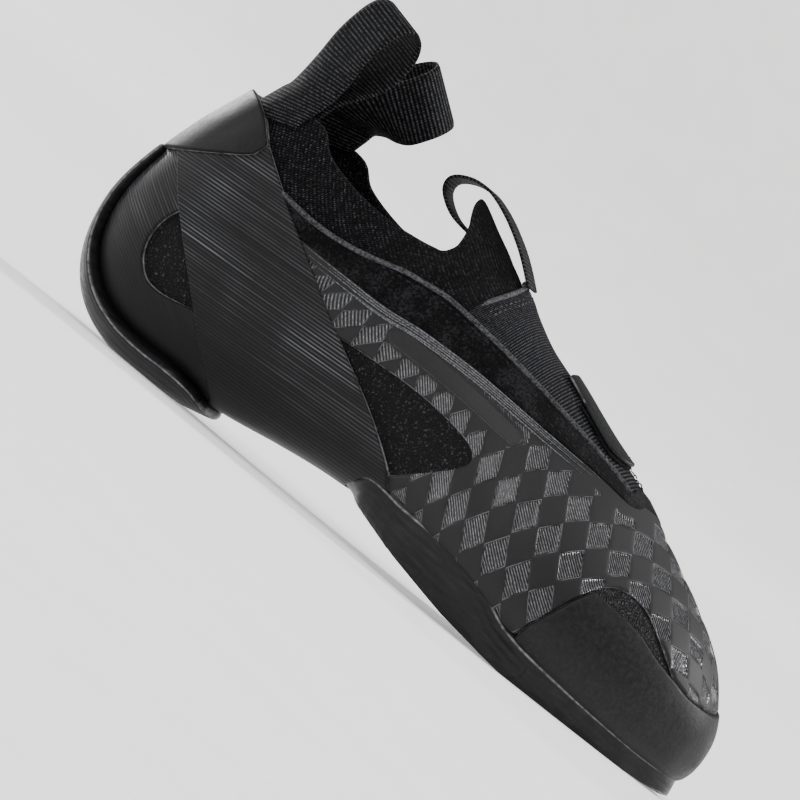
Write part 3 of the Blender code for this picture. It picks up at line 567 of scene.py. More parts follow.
def groundRubberFinish(name, along, pitch, fade):
    # Rubber sheet ground on a wheel: close, long, even lines, painted paler as a painted highlight.
    # Towards the sole, over the two heights in fade, the lines fade out and the rubber is painted
    # darker, a painted shade.
    finish, add, shader, places = newFinish(name, 0.16)
    turned = add("Mapping", {"Rotation": (0, math.radians(along), 0), "Vector": places})
    drift = add("Mapping", {"Scale": (0.012, 0.01, 0.2), "Vector": turned})
    wander = add("TexNoise", {"Scale": 1.0, "Detail": 1, "Vector": drift})
    turn = add("Math MULTIPLY", {0: add("SeparateXYZ", {"Vector": turned}).outputs["Z"],
                                 1: 2 * math.pi / pitch})
    wave = add("Math SINE", {0: add("Math MULTIPLY_ADD", {0: wander, 1: 7, 2: turn})})
    line = add("MapRange", {"Value": wave, "From Min": -0.6, "From Max": 1.0})
    stretch = add("Mapping", {"Scale": (0.018, 0.01, 0.9), "Vector": turned})
    scratch = add("TexNoise", {"Scale": 1.0, "Detail": 3, "Roughness": 0.6, "Vector": stretch})
    amount = add("MapRange", {"Value": scratch, "From Min": 0.34, "From Max": 0.64, "To Min": 0.4})
    high = add("SeparateXYZ", {"Vector": places}).outputs["Z"]
    # Painted shade: the lines fade and the rubber darkens towards the sole
    shadeTowardsSole = add("MapRange", {"Value": high, "From Min": fade[0], "From Max": fade[1],
                            "To Min": 0.12})
    cut = add("Math MULTIPLY", {0: add("Math MULTIPLY", {0: line, 1: amount}), 1: shadeTowardsSole})
    light = add("Math MULTIPLY", {0: cut, 1: patchy(add, places, 0.05, 2, 0.35, 0.65, 0.6)})
    # The lines are painted paler than the ground, a painted highlight
    colour = add("ValToRGB", {"Fac": light, "stops": (
        (0.0, "#08080a"), (0.3, "#171718"), (0.65, "#37373a"), (1.0, "#606065"))})
    finishOff(add, shader, worn(add, places, colour, "#9a9a9e", 0.7), 0.46, cut, 0.16)
    return finish


def smoothRubberFinish(name, shades, roughness, streak, lining=0.0):
    # Moulded rubber: an even dull skin with faint brushing, fine grit and paler rubbed edges.
    # lining is how strongly the buffing lines that follow the cut edge show.
    finish, add, shader, places = newFinish(name, 0.16)
    stretch = add("Mapping", {"Scale": streak, "Vector": places})
    brushed = add("TexNoise", {"Scale": 0.9, "Detail": 5, "Vector": stretch})
    grit = add("TexNoise", {"Scale": 2.2, "Detail": 2, "Vector": places})
    tone = add("Math MULTIPLY_ADD", {0: grit, 1: 0.5, 2: brushed})
    colour = add("ValToRGB", {"Fac": tone, "stops": tuple(zip((0.5, 0.75, 1.0), shades))})
    rough = add("MapRange", {"Value": brushed, "From Min": 0.3, "From Max": 0.7,
                             "To Min": roughness - 0.08, "To Max": roughness + 0.08})
    buffed = ripple(add, add("Attribute", {"attribute_name": "edge"}).outputs["Fac"], 0.0023)
    height = add("Math MULTIPLY_ADD", {0: buffed, 1: lining, 2: tone})
    finishOff(add, shader, worn(add, places, colour, "#8c8c90", 0.5), rough, height, 0.09)
    return finish


plates = {"length": 9.5, "height": 12.0, "drop": 4.0, "rib": 0.8, "lean": 0.49, "raise": 0.4,
          "grow": 0.565}


def syntheticFinish(name, shades, gloss):
    # Moulded synthetic skin: matte raised lozenges on a glossy ground of fine slanting ribs.
    # The ribs are painted pale, a painted highlight, and a thin painted highlight runs round each
    # lozenge's rim.
    finish, add, shader, places = newFinish(name, 0.3)
    u, v = surfaceMap(add)
    p = add("Math DIVIDE", {0: u, 1: plates["length"]})
    q = add("Math DIVIDE", {0: add("Math ADD", {0: v, 1: plates["drop"]}), 1: plates["height"]})
    near = add("Math ADD", {0: add("Math PINGPONG", {0: p, 1: 0.5}),
                            1: add("Math PINGPONG", {0: q, 1: 0.5})})
    reach = add("Math SUBTRACT", {0: 1.0, 1: near})
    low = add("MapRange", {"Value": reach, "From Min": plates["grow"] - 0.012,
                           "From Max": plates["grow"] + 0.012})
    plain = add("Attribute", {"attribute_name": "plain"}).outputs["Fac"]
    shown = add("Math SUBTRACT", {0: 1.0, 1: plain})
    ground = add("Math MULTIPLY", {0: low, 1: shown})
    slant = add("Math MULTIPLY_ADD", {0: u, 1: -plates["lean"], 2: v})
    ribs = add("MapRange", {"Value": ripple(add, slant, plates["rib"]), "From Min": -0.8,
                            "From Max": 1.0})
    # The ground's ribs are painted pale, a painted highlight for its gloss
    ribHighlight = add("Math MULTIPLY", {0: ribs, 1: patchy(add, places, 1.0, 3, 0.3, 0.7, 0.6)})
    groundHighlightColour = add("ValToRGB", {"Fac": ribHighlight, "stops": (
        (0.0, "#101011"), (0.4, "#2a2a2c"), (0.75, "#545457"), (1.0, "#848488"))})
    grain = add("TexNoise", {"Scale": 2.5, "Detail": 2, "Vector": places})
    plateColour = add("ValToRGB", {"Fac": grain, "stops": tuple(zip((0.3, 0.7), shades))})
    colour = add("Mix", {"data_type": "RGBA", 0: ground, 6: plateColour, 7: groundHighlightColour})
    # A thin pale line round each lozenge's rim, a painted highlight
    fromRim = add("Math SUBTRACT", {0: reach, 1: plates["grow"] - 0.025})
    line = add("MapRange", {"Value": add("Math ABSOLUTE", {0: fromRim}), "From Max": 0.024,
                            "To Min": 0.6, "To Max": 0.0})
    rimHighlight = add("Math MULTIPLY", {0: line, 1: patchy(add, places, 0.22, 2, 0.42, 0.6)})
    rim = add("Math MULTIPLY", {0: rimHighlight, 1: shown})
    rimHighlighted = add("Mix", {"data_type": "RGBA", 0: rim, 6: colour.outputs[2], 7: "#77777b"})
    rough = add("MapRange", {"Value": ground, "To Min": gloss[0], "To Max": gloss[1]})
    raised = add("Math SUBTRACT", {0: 1.0, 1: ground})
    ribRise = add("Math MULTIPLY", {0: ribs, 1: ground})
    height = add("Math MULTIPLY_ADD", {0: ribRise, 1: 0.45, 2: raised})
    fine = add("Math MULTIPLY_ADD", {0: grain, 1: 0.14, 2: height})
    finishOff(add, shader, worn(add, places, rimHighlighted.outputs[2], "#88888c", 0.7), rough, fine, 0.35)
    return finish


def plainSyntheticFinish(name, shades, roughness):
    # The same moulded skin where it is plain: fine pebbled grain, a little glossier on ridges
    finish, add, shader, places = newFinish(name, 0.3)
    grain = add("TexNoise", {"Scale": 1.8, "Detail": 4, "Vector": places})
    colour = add("ValToRGB", {"Fac": grain, "stops": tuple(zip((0.35, 0.7), shades))})
    finishOff(add, shader, worn(add, places, colour, "#77777b", 0.5), roughness, grain, 0.1)
    return finish


def suedeFinish():
    # Microfibre suede, creased and pressed: a web of small wrinkles whose tops are painted
    # paler, a painted highlight
    finish, add, shader, places = newFinish("creasedMicrofibre", 0.13)
    drift = add("TexNoise", {"Scale": 0.5, "Detail": 3, "Vector": places}).outputs["Color"]
    pulled = add("VectorMath MULTIPLY_ADD", {0: drift, 1: (2.6, 2.6, 2.6), 2: places})
    cells = add("TexVoronoi", {"feature": "DISTANCE_TO_EDGE", "Scale": 0.9, "Vector": pulled})
    crease = add("MapRange", {"Value": cells, "From Max": 0.28})
    height = add("Math MULTIPLY", {0: crease, 1: patchy(add, places, 0.9, 4, 0.36, 0.64, 0.35)})
    colour = add("ValToRGB", {"Fac": height, "stops": (
        (0.0, "#010101"), (0.5, "#0a0a0b"), (1.0, "#3a3a3d"))})
    finishOff(add, shader, colour, 0.55, height, 0.45)
    return finish


def bindingFinish():
    # Brushed lining cloth: a soft nap, dull and dark, paler in soft patches
    finish, add, shader, places = newFinish("brushedLiningCloth", 0.04, 0.05)
    nap = add("TexNoise", {"Scale": 1.3, "Detail": 5, "Vector": places})
    soft = add("TexNoise", {"Scale": 0.11, "Detail": 2, "Vector": places})
    tone = add("Math MULTIPLY_ADD", {0: soft, 1: 0.7, 2: nap})
    colour = add("ValToRGB", {"Fac": tone, "stops": (
        (0.66, "#040405"), (0.85, "#0c0c0d"), (1.0, "#1f1f21"))})
    finishOff(add, shader, colour, 0.95, nap, 0.2)
    return finish


def ribbedClothFinish(name, pitch, yarn, shades, roughness, depth):
    # Narrow woven goods: ribs across the length, each a row of fine yarns, painted paler where
    # they stand highest, a painted highlight
    finish, add, shader, places = newFinish(name, 0.08)
    u, v = surfaceMap(add)
    weave = add("Math MULTIPLY_ADD", {0: ripple(add, u, yarn), 1: 0.35, 2: ripple(add, v, pitch)})
    height = add("MapRange", {"Value": weave, "From Min": -1.15, "From Max": 1.3})
    light = add("Math MULTIPLY", {0: height, 1: patchy(add, places, 1.3, 3, 0.3, 0.66, 0.4)})
    colour = add("ValToRGB", {"Fac": light, "stops": tuple(zip((0.02, 0.4, 0.9), shades))})
    finishOff(add, shader, colour, roughness, height, depth)
    return finish


def spunFinish(name, dark, light, scale):
    # Spun cloth, felt or thread: short fibres that lie every way
    finish, add, shader, places = newFinish(name, 0.12)
    fibre = add("TexNoise", {"Scale": scale, "Detail": 4, "Vector": places})
    colour = add("ValToRGB", {"Fac": fibre, "stops": ((0.35, dark), (0.68, light))})
    finishOff(add, shader, colour, 0.7, fibre, 0.15)
    return finish


finishes = {
    "knit": knitFinish(),
    "bandRubber": groundRubberFinish("groundBandRubber", 4.0, 1.05, (8, 40)),
    "cupRubber": groundRubberFinish("groundCupRubber", -26.0, 0.95, (16, 40)),
    "soleRubber": smoothRubberFinish("mouldedSoleRubber", ("#0c0c0d", "#121213", "#1d1d1f"), 0.36,
                                     (0.08, 0.3, 0.9), 0.35),
    "patchRubber": smoothRubberFinish("mouldedPatchRubber", ("#101011", "#171718", "#202021"), 0.5,
                                      (0.8, 0.8, 0.8)),
    # A darker copy of the patch rubber for the heel patch: painted shade, where the heel lamps light
    # it
    "heelRubber": smoothRubberFinish("shadedCopyPatchRubber", ("#070708", "#0c0c0d", "#151516"), 0.5,
                                     (0.8, 0.8, 0.8)),
    "synthetic": syntheticFinish("mouldedSynthetic", ("#070708", "#101011"), (0.6, 0.2)),
    # The ridge cords are painted pale, a painted highlight for their gloss
    "ridge": plainSyntheticFinish("paintedHighlightSyntheticRidge", ("#28282a", "#6c6c70"), 0.25),
    "stripSkin": plainSyntheticFinish("plainSynthetic", ("#0a0a0b", "#121213"), 0.5),
    "suede": suedeFinish(),
    "binding": bindingFinish(),
    "elastic": ribbedClothFinish("wovenElastic", 1.15, 0.9, ("#060607", "#171719", "#4c4c51"),
                                 0.72, 0.22),
    "webbing": ribbedClothFinish("grosgrainRibbon", 1.3, 0.8, ("#010101", "#09090a", "#48484c"),
                                 0.68, 0.35),
    "piping": spunFinish("twistedPipingCord", "#18181a", "#525255", 1.4),
    "thread": spunFinish("bondedNylonThread", "#222224", "#606064", 2.0),
    "darkThread": spunFinish("blackNylonThread", "#0b0b0c", "#29292b", 2.0),
    "board": spunFinish("feltedInsoleBoard", "#0c0c0c", "#262628", 0.8),
    "paint": spunFinish("rolledMattPaint", "#f1f1f0", "#f7f7f6", 0.03),
}


# Surface map of the form in millimetres

mapRows = np.linspace(-1, lastEnd, 241)
mapTurns = np.radians(np.linspace(-90, 270, 241))
mapGrid = lastPoint(mapRows[:, None], mapTurns[None, :])
mapStep = np.linalg.norm(np.diff(mapGrid, axis=1), axis=-1)
mapArc = np.concatenate([np.zeros((241, 1)), np.cumsum(mapStep, axis=1)], axis=1)
mapArc = (mapArc - mapArc[:, 120:121]) * 1000
sideStep = np.linalg.norm(np.diff((mapGrid[:, 60] + mapGrid[:, 180]) / 2, axis=0), axis=-1)
sideStep = np.maximum(sideStep, 0.0001)
mapLength = np.concatenate([[0], np.cumsum(sideStep)]) * 1000


def formMap(params, bare):
    # Arc from the instep ridge, and length along the foot and up the heel
    row = (params[:, 0] + 1) / (lastEnd + 1) * 240
    turn = (np.degrees(params[:, 1]) + 90) / 360 * 240
    i = np.clip(row.astype(int), 0, 239)
    j = np.clip(turn.astype(int), 0, 239)
    fi, fj = row - i, turn - j
    arc = ((1 - fi) * ((1 - fj) * mapArc[i, j] + fj * mapArc[i, j + 1])
           + fi * ((1 - fj) * mapArc[i + 1, j] + fj * mapArc[i + 1, j + 1]))
    return np.stack([arc, np.interp(params[:, 0], mapRows, mapLength)], axis=-1)


def panelMap(params, bare):
    # Length along the foot, and height between the sole edge (0) and the ridge (60)
    flat = formMap(params, bare)
    innerFull = np.interp(params[:, 0], mapRows, -mapArc[:, 47])
    outerFull = np.interp(params[:, 0], mapRows, mapArc[:, 193])
    full = np.where(flat[:, 0] < 0, innerFull, outerFull)
    share = 1 - np.abs(flat[:, 0]) / np.maximum(full, 1.0)
    return np.stack([flat[:, 1], share * 60], axis=-1)


def plateHeight(flat):
    # 1 on the raised lozenges, 0 on the ground between them
    p, q = flat[:, 0] / plates["length"], (flat[:, 1] + plates["drop"]) / plates["height"]
    reach = np.abs(p % 1 - 0.5) + np.abs(q % 1 - 0.5)
    return 1 - np.clip((reach - plates["grow"]) / 0.05 + 0.5, 0, 1)


def dress(piece, finish, slot, *nodes):
    piece.data.materials.clear()
    piece.data.materials.append(finishes[finish])
    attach(piece, "root")
    if nodes:
        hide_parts(*nodes)
    return piece


def away(*names, gap=0.0003):
    # Field that keeps clear of regions by a gap
    parts = [region(name) for name in names]
    return lambda points: np.minimum.reduce([-part(points) - gap for part in parts])


def both(*fields):
    return lambda points: np.minimum.reduce([field(points) for field in fields])


def grow(field, by):
    return lambda points: field(points) + by


# Knitted bootie, one hollow sheet with a rounded rim at the collar
bootie = {"wall": 2.0, "rim": 0.9}
dress(skin("knit_bootie", away("opening", gap=0.0), (-bootie["wall"] / 2, 0.0, bootie["rim"]),
           (-bootie["wall"] / 2, -bootie["wall"], bootie["rim"]), cell=0.0016,
           levels=(0.0003, 0.0009), uvAt=formMap), "knit", "knit", "upper")
print("stage: bootie", flush=True)

# Suede that shows in the side windows and behind the heel
windows = (grow(region("sideWindow"), 3 * mm), grow(region("cupWindow"), 2 * mm),
           both(grow(region("toe"), 2 * mm), away("rand", gap=-2 * mm)))
dress(skin("suede_panels",
           both(lambda points: np.maximum.reduce([window(points) for window in windows]),
                away("soleSide", gap=-3 * mm)),
           (0.1, 0.4, 1.0), -0.1, rowRange=(1, 22), levels=(0.0005,)), "suede", "suede")

# Moulded side panels
panel = {"edge": (0.4, 1.0, 0.5), "plain": 3.4 * mm, "beside": 2.4 * mm}


def plainZone(bare):
    # 1 along the binding and the bare strip, where the panel has no lozenges
    near = np.maximum(region("binding")(bare) + panel["plain"],
                      region("strip")(bare) + panel["beside"])
    return np.clip(near / (0.5 * mm), 0, 1)


def panelTop(rows, turns, depth, bare):
    lozenges = plateHeight(panelMap(np.stack([rows, turns], axis=-1), bare))
    raised = 1 - (1 - lozenges) * (1 - plainZone(bare))
    rise = plates["raise"] * mm * np.clip(depth / mm, 0, 1) * raised
    return lip(depth, *np.multiply(panel["edge"], mm)) + rise


dress(skin("moulded_side_panels",
           both(region("overlay"), away("sideWindow", gap=0.0), away("toe"),
                away("soleSide", gap=-2 * mm), away("band", gap=-4 * mm),
                away("binding", gap=-3 * mm)),
           panelTop, -0.1, rowRange=(1, lastEnd), cell=0.001, uvAt=panelMap,
           marks={"plain": lambda params, bare, depth: plainZone(bare)}),
      "synthetic", "synthetic", "side_overlay")

# The long bare strip on the outer side, pressed flat into the pattern
dress(skin("side_bare_strip", grow(region("strip"), 1.3 * mm), (1.2, 1.7, 0.5), 1.0,
           rowRange=(4, 18), turnRange=(math.radians(90), math.radians(240)), cell=0.0008),
      "stripSkin", "synthetic")

sheets = (
    # name, where, rounded edge in mm, underside in mm, rows, map, finish, slot, solid
    ("instep_elastic_panel", grow(region("elastic"), 1 * mm), (0.3, 1.0, 0.6), -0.1, (5, 17),
     formMap, "elastic", "elastic", "instep_elastic"),
    ("throat_binding_edge", both(region("binding"), away("band", gap=-2 * mm)), (0.5, 1.7, 1.0),
     -0.1, (3, lastEnd), None, "binding", "suede", "throat_binding"),
    ("toe_rand_rubber", both(region("rand"), away("soleSide", gap=-2 * mm)), (0.5, 1.9, 0.9),
     -0.1, (-1, 9), None, "patchRubber", "rand_rubber", "toe_rand"),
    ("heel_cup_rubber", both(grow(region("cup"), 1 * mm), away("cupWindow", gap=0.0)),
     (0.6, 1.9, 0.7), -0.1, (12.5, lastEnd), formMap, "cupRubber", "rand_rubber", "heel_cup"),
    ("tension_band_rubber", both(region("band"), away("soleSide", gap=-2 * mm)), (0.9, 2.3, 0.6),
     -0.1, (8.5, lastEnd), None, "bandRubber", "rand_rubber", "tension_band"),
    # The heel patch takes the darker copy of the patch rubber, a painted shade
    ("heel_patch_rubber", region("patch"), (2.6, 3.8, 0.6), 2.0, (18, lastEnd), None,
     "heelRubber", "rand_rubber", "heel_patch"),
)
for name, where, edge, under, rowRange, uvAt, *looks in sheets:
    dress(skin(name, where, edge, under, rowRange=rowRange, uvAt=uvAt), *looks)
print("stage: panels", flush=True)

# Heel sole: a strip under and up the back of the heel
heelOutline = ((0.252, 0.10), (0.247, 0.19), (0.235, 0.26), (0.205, 0.300), (0.160, 0.285),
               (0.105, 0.255), (0.062, 0.230), (0.032, 0.212), (0.012, 0.190),
               (-0.006, 0.175), (-0.060, 0.160))
# Rows of the form, and the rubber's share of its full thickness there
heelRows = np.array(((13.0, 0.35), (14.0, 0.62), (15.0, 1.10), (16.0, 1.10), (17.0, 0.98),
                     (18.0, 0.86), (19.0, 0.76), (20.0, 0.56), (21.0, 0.38), (23.0, 0.30)))
heelStrip = {"thickness": 4.2 * mm, "seat": 2.6 * mm, "top": 0.62, "sideLoss": 0.55}
heelHalf = spline(heelOutline, np.linspace(0, 10, 61)) * (lastSize["length"], lastSize["heel"])
heelLoop = np.vstack([heelHalf, heelHalf[::-1] * (1, -1)])


def heelField(points):
    height = lastSize["sole"] + heelStrip["top"] * lastSize["height"] - points[..., 2]
    return np.minimum(loopDistance(points[..., :2], heelLoop), height)


def heelTop(rows, turns, depth, bare):
    aside = np.abs(np.cos(turns)) ** 2.5
    full = heelStrip["thickness"] * np.interp(rows, *heelRows.T) * (
        1 - heelStrip["sideLoss"] * aside)
    points = lastSurface(rows, turns, heelStrip["seat"] + lip(depth, -0.4 * mm, 0, 1 * mm) + full)
    points[:, 2] = np.maximum(points[:, 2], 0)
    return points


dress(skin("heel_sole_rubber", both(heelField, away("patch")), heelTop, 2.0,
           rowRange=(13, lastEnd)), "soleRubber", "sole_rubber", "heel_sole")

# Outsole: wraps the front half from the arch to the toe
treadRows = np.array((
    # share of the length, floor side's height in soles, its inset from the edge in ball widths
    (0.40, 2.95, 0.160), (0.48, 2.60, 0.130), (0.53, 2.10, 0.095), (0.60, 1.40, 0.060),
    (0.70, 0.58, 0.032), (0.80, -0.02, 0.018), (0.86, -0.10, 0.014), (0.94, -0.06, 0.012),
    (0.98, 0.08, 0.010), (1.00, 0.40, 0.006), (1.02, 1.10, 0.004)))
outsoleSize = {"edge": 2.1 * mm, "seat": 0.3 * mm, "corner": 0.74}


def outsoleTop(rows, turns, depth, bare):
    high = lastSurface(rows, turns, np.full(rows.shape, outsoleSize["edge"]))
    walls = [lastSurface(rows, np.full(rows.shape, turn), np.full(rows.shape, outsoleSize["edge"]))
             for turn in (math.pi, 0.0)]
    share = walls[0][:, 0] / lastSize["length"]
    bottom = lastSize["sole"] * np.interp(share, treadRows[:, 0], treadRows[:, 1])
    bottom = np.maximum(bottom, 0.0)
    inset = lastSize["ball"] * np.interp(share, treadRows[:, 0], treadRows[:, 2])
    half = np.maximum((walls[1][:, 1] - walls[0][:, 1]) / 2 - inset, 0.0)
    centre = (walls[1][:, 1] + walls[0][:, 1]) / 2
    down = np.arccos(np.clip(-np.sin(turns), -1, 1)) / (math.pi / 2)
    side = np.sign(np.cos(turns))
    wall = np.where((side > 0)[:, None], walls[1], walls[0])
    corner = outsoleSize["corner"]
    flat = np.clip(down / corner, 0, 1)
    climb = np.clip((down - corner) / (1 - corner), 0, 1)
    low = np.stack([walls[0][:, 0], centre + side * half * flat, bottom], axis=-1)
    low = low + (wall - low) * climb[:, None]
    points = np.where((np.sin(turns) < 0)[:, None], low, high)
    base = lastSurface(rows, turns, np.full(rows.shape, outsoleSize["seat"]))
    return base + (points - base) * lip(depth, 0.25, 1.0, 0.8 * mm)[:, None]


dress(skin("outsole_rubber", region("soleSide"), outsoleTop, 0.1, rowRange=(-1, 13)),
      "soleRubber", "sole_rubber", "outsole")
print("stage: soles", flush=True)

# Pull tab on the elastic
tabSize = {"front": 0.715, "length": 31 * mm, "width": 15 * mm, "middle": 0.035, "rear": 0.8,
           "edge": (2.2, 3.2, 0.8), "seat": 1.1, "lowest": 45 * mm, "straight": 14,
           "backing": (1.04, 1.14), "stitched": (0.9, 0.66)}
tabHalf = tabSize["width"] / 2
tabFront = tabSize["front"] * lastSize["length"]
tabMiddle = tabSize["middle"] * lastSize["ball"]


def tabArc(start, end, count):
    # The tab's round front end in the plan view, between two angles in degrees
    turns = np.radians(np.linspace(start, end, count))
    return np.stack([tabFront - tabHalf + tabHalf * np.cos(turns),
                     tabMiddle + tabHalf * np.sin(turns)], axis=1)


tabRear = [(tabFront - tabSize["length"], tabMiddle + side * tabHalf * tabSize["rear"])
           for side in (-1, 1)]
tabLoop = np.vstack([tabRear, tabArc(90, -90, 33)])


def tabField(points):
    outside = -0.01
    return np.where(points[..., 2] > tabSize["lowest"], loopDistance(points[..., :2], tabLoop),
                    outside)


dress(skin("instep_pull_tab", tabField, tabSize["edge"], tabSize["seat"], rowRange=(4, 12),
           turnRange=(math.radians(30), math.radians(150)), cell=0.0009),
      "patchRubber", "rand_rubber", "instep_tab")


# Webbing loops

def faceOutwards(made):
    bm = bmesh.new()
    bm.from_mesh(made.data)
    bmesh.ops.recalc_face_normals(bm, faces=bm.faces)
    bm.to_mesh(made.data)
    bm.free()
    return made


def strapPiece(name, lines, thickness, fineness=4):
    # A flat woven strap from lines of points laid across it, with its own map in millimetres
    grid = np.asarray(lines, float)
    steps = np.linspace(0, len(grid) - 1, (len(grid) - 1) * fineness + 1)
    grid = spline(grid.reshape(len(grid), -1), steps).reshape(len(steps), -1, 3)
    across = np.linspace(0, grid.shape[1] - 1, 13)
    turned = np.moveaxis(grid, 1, 0)
    grid = np.moveaxis(spline(turned.reshape(len(turned), -1), across).reshape(
        len(across), len(steps), 3), 0, 1)
    normal = np.cross(np.gradient(grid, axis=0), np.gradient(grid, axis=1))
    normal /= np.linalg.norm(normal, axis=-1, keepdims=True)
    edgeShare = np.abs(np.linspace(-1, 1, len(across)))
    half = thickness / 2 * np.where(edgeShare > 0.95, 0.45, 1.0)[None, :, None]
    top = grid + normal * half
    under = grid - normal * half
    ring = np.concatenate([top, under[:, ::-1]], axis=1)
    count, around = ring.shape[:2]
    along, aside = [np.concatenate([[0], np.cumsum(
        np.linalg.norm(np.diff(grid, axis=way), axis=-1).mean(axis=1 - way))]) for way in (0, 1)]
    aside = np.concatenate([aside, aside[::-1]])
    uv = np.stack(np.broadcast_arrays(aside[None, :], along[:, None]), axis=-1).reshape(-1, 2)
    index = np.arange(count * around).reshape(count, around)
    after = np.roll(index, -1, axis=1)
    quads = np.stack([index[:-1], after[:-1], after[1:], index[1:]], axis=-1).reshape(-1, 4)
    width = len(across)
    caps = [(index[0, j], index[0, around - 1 - j], index[0, around - 2 - j], index[0, j + 1])
            for j in range(width - 1)]
    caps += [(index[-1, j], index[-1, j + 1], index[-1, around - 2 - j], index[-1, around - 1 - j])
             for j in range(width - 1)]
    faces = np.vstack([quads, caps])
    return faceOutwards(meshPiece(name, ring.reshape(-1, 3) + shoeShift, faces, uv * 1000))


webbing = {"width": 20 * mm, "thickness": 1.2 * mm, "height": 40 * mm, "depth": 14 * mm,
           "gap": 0.3 * mm, "frontWidth": 12 * mm, "frontThickness": 1.0 * mm,
           "outerRows": (21.9, 22.3, 22.7, 23.0), "innerRows": (23.0, 22.7, 22.3)}
# A heel loop's way up, over and down again: its rise, and how far it is across the loop
loopPath = ((0.25, 0.00), (0.50, -0.05), (0.75, 0.00), (0.90, 0.12), (0.98, 0.32), (1.00, 0.52),
            (0.97, 0.74), (0.88, 0.92), (0.74, 1.00), (0.55, 0.96), (0.36, 0.78), (0.16, 0.50))


def heelLoopPiece(name, turn, lean, droop):
    speed = np.linalg.norm(lastPoint(lastEnd, turn + 0.05) - lastPoint(lastEnd, turn - 0.05))
    places = np.linspace(-1, 1, 5)
    turns = turn + webbing["width"] / 2 / (speed / 0.1) * places
    outside = webbing["gap"] + webbing["thickness"] / 2
    inside = -bootie["wall"] * mm - outside
    lines = [lastSurface(row, turns, outside) for row in webbing["outerRows"]]
    end = [lastSurface(row, turns, inside) for row in webbing["innerRows"]]
    foot, innerFoot = lines[-1].mean(axis=0), end[0].mean(axis=0)
    up = np.array(lean) * webbing["height"]
    flat = np.array(droop)
    flat = flat / np.linalg.norm(flat) * webbing["width"] / 2 * places[:, None]
    inward = (innerFoot - foot) / np.linalg.norm(innerFoot - foot)
    for rise, share in loopPath:
        outerSide = share < 0.5 and rise < 0.99
        shape = (lines[3] - foot) if outerSide else (end[0] - innerFoot)
        ease = min(rise / 0.6, 1.0)
        ease = ease * ease * (3 - 2 * ease)
        lines.append(foot + up * rise + inward * share * webbing["depth"]
                     + shape * (1 - ease) + flat * ease)
    return strapPiece(name, lines + end, webbing["thickness"])


for name, node, turn, lean, droop in (
        ("pull_loop_outer", "heel_loop_lateral", math.pi + 0.575, (0.14, -0.12, 0.90),
         (-0.85, 0.50, 0.16)),
        ("pull_loop_inner", "heel_loop_medial", -0.575, (0.40, 0.20, 0.66),
         (0.74, 0.32, -0.60))):
    dress(heelLoopPiece(name, turn, lean, droop), "webbing", "webbing", node)

frontPath = sideEdge(((0.478, 1.034), (0.461, 1.072), (0.437, 1.119), (0.404, 1.169),
                      (0.375, 1.200), (0.355, 1.210), (0.334, 1.203), (0.316, 1.179),
                      (0.309, 1.151), (0.312, 1.116), (0.325, 1.085), (0.341, 1.063),
                      (0.358, 1.053), (0.384, 1.047), (0.402, 1.047), (0.415, 1.031)), 2)
frontMiddle = 0.005 * lastSize["ball"]
frontLines = [[(x, frontMiddle + webbing["frontWidth"] / 2 * step, z) for step in (-1, 0, 1)]
              for x, z in frontPath]
dress(strapPiece("pull_loop_front", frontLines, webbing["frontThickness"]), "webbing", "webbing",
      "front_loop")
print("stage: webbing", flush=True)

# Sewn detail

gridRows = np.linspace(0.2, lastEnd, 500)
gridTurns = {-1: np.radians(np.linspace(88, 215, 420)), 1: np.radians(np.linspace(92, -35, 420))}
gridPlaces = {side: sidePlaces(lastPoint(gridRows[:, None], turns[None, :]))
              for side, turns in gridTurns.items()}


def findOnForm(line, side):
    # Row and turn of the form's points that show at side-view places, on one side
    found = []
    places = gridPlaces[side]
    for spot in line:
        near = np.argmin(np.sum((places - spot) ** 2, axis=-1))
        i, j = np.unravel_index(near, places.shape[:2])
        row, turn = gridRows[i], gridTurns[side][j]
        for _ in range(4):
            here = sidePlaces(lastPoint(row, turn))
            byRow = (sidePlaces(lastPoint(row + 0.01, turn)) - here) / 0.01
            byTurn = (sidePlaces(lastPoint(row, turn + 0.004)) - here) / 0.004
            system = np.stack([byRow, byTurn], axis=1)
            if abs(np.linalg.det(system)) < 1e-7:
                break
            step = np.linalg.solve(system, spot - here)
            row = float(np.clip(row + np.clip(step[0], -0.2, 0.2), 0.1, lastEnd))
            turn += float(np.clip(step[1], -0.05, 0.05))
        found.append((row, turn))
    return np.array(found)


def evenLine(points, spacing):
    # The line again, in even steps. Columns after the first three go along with the places.
    steps = np.linalg.norm(np.diff(points[:, :3], axis=0), axis=1)
    far = np.concatenate([[0], np.cumsum(steps)])
    count = max(int(round(far[-1] / spacing)), 2)
    places = np.linspace(0, far[-1], count + 1)
    return np.stack([np.interp(places, far, points[:, k]) for k in range(points.shape[1])], axis=1)


def smoothLine(points, rounds=2):
    for _ in range(rounds):
        inner = (points[:-2] + 2 * points[1:-1] + points[2:]) / 4
        points = np.vstack([points[:1], inner, points[-1:]])
    return points


def lineOnForm(line, side, offset, spacing=0.0015):
    params = findOnForm(evenLine(np.asarray(line), spacing), side)
    return smoothLine(lastSurface(params[:, 0], params[:, 1], offset)) + shoeShift, \
        lastNormal(params[:, 0], params[:, 1])


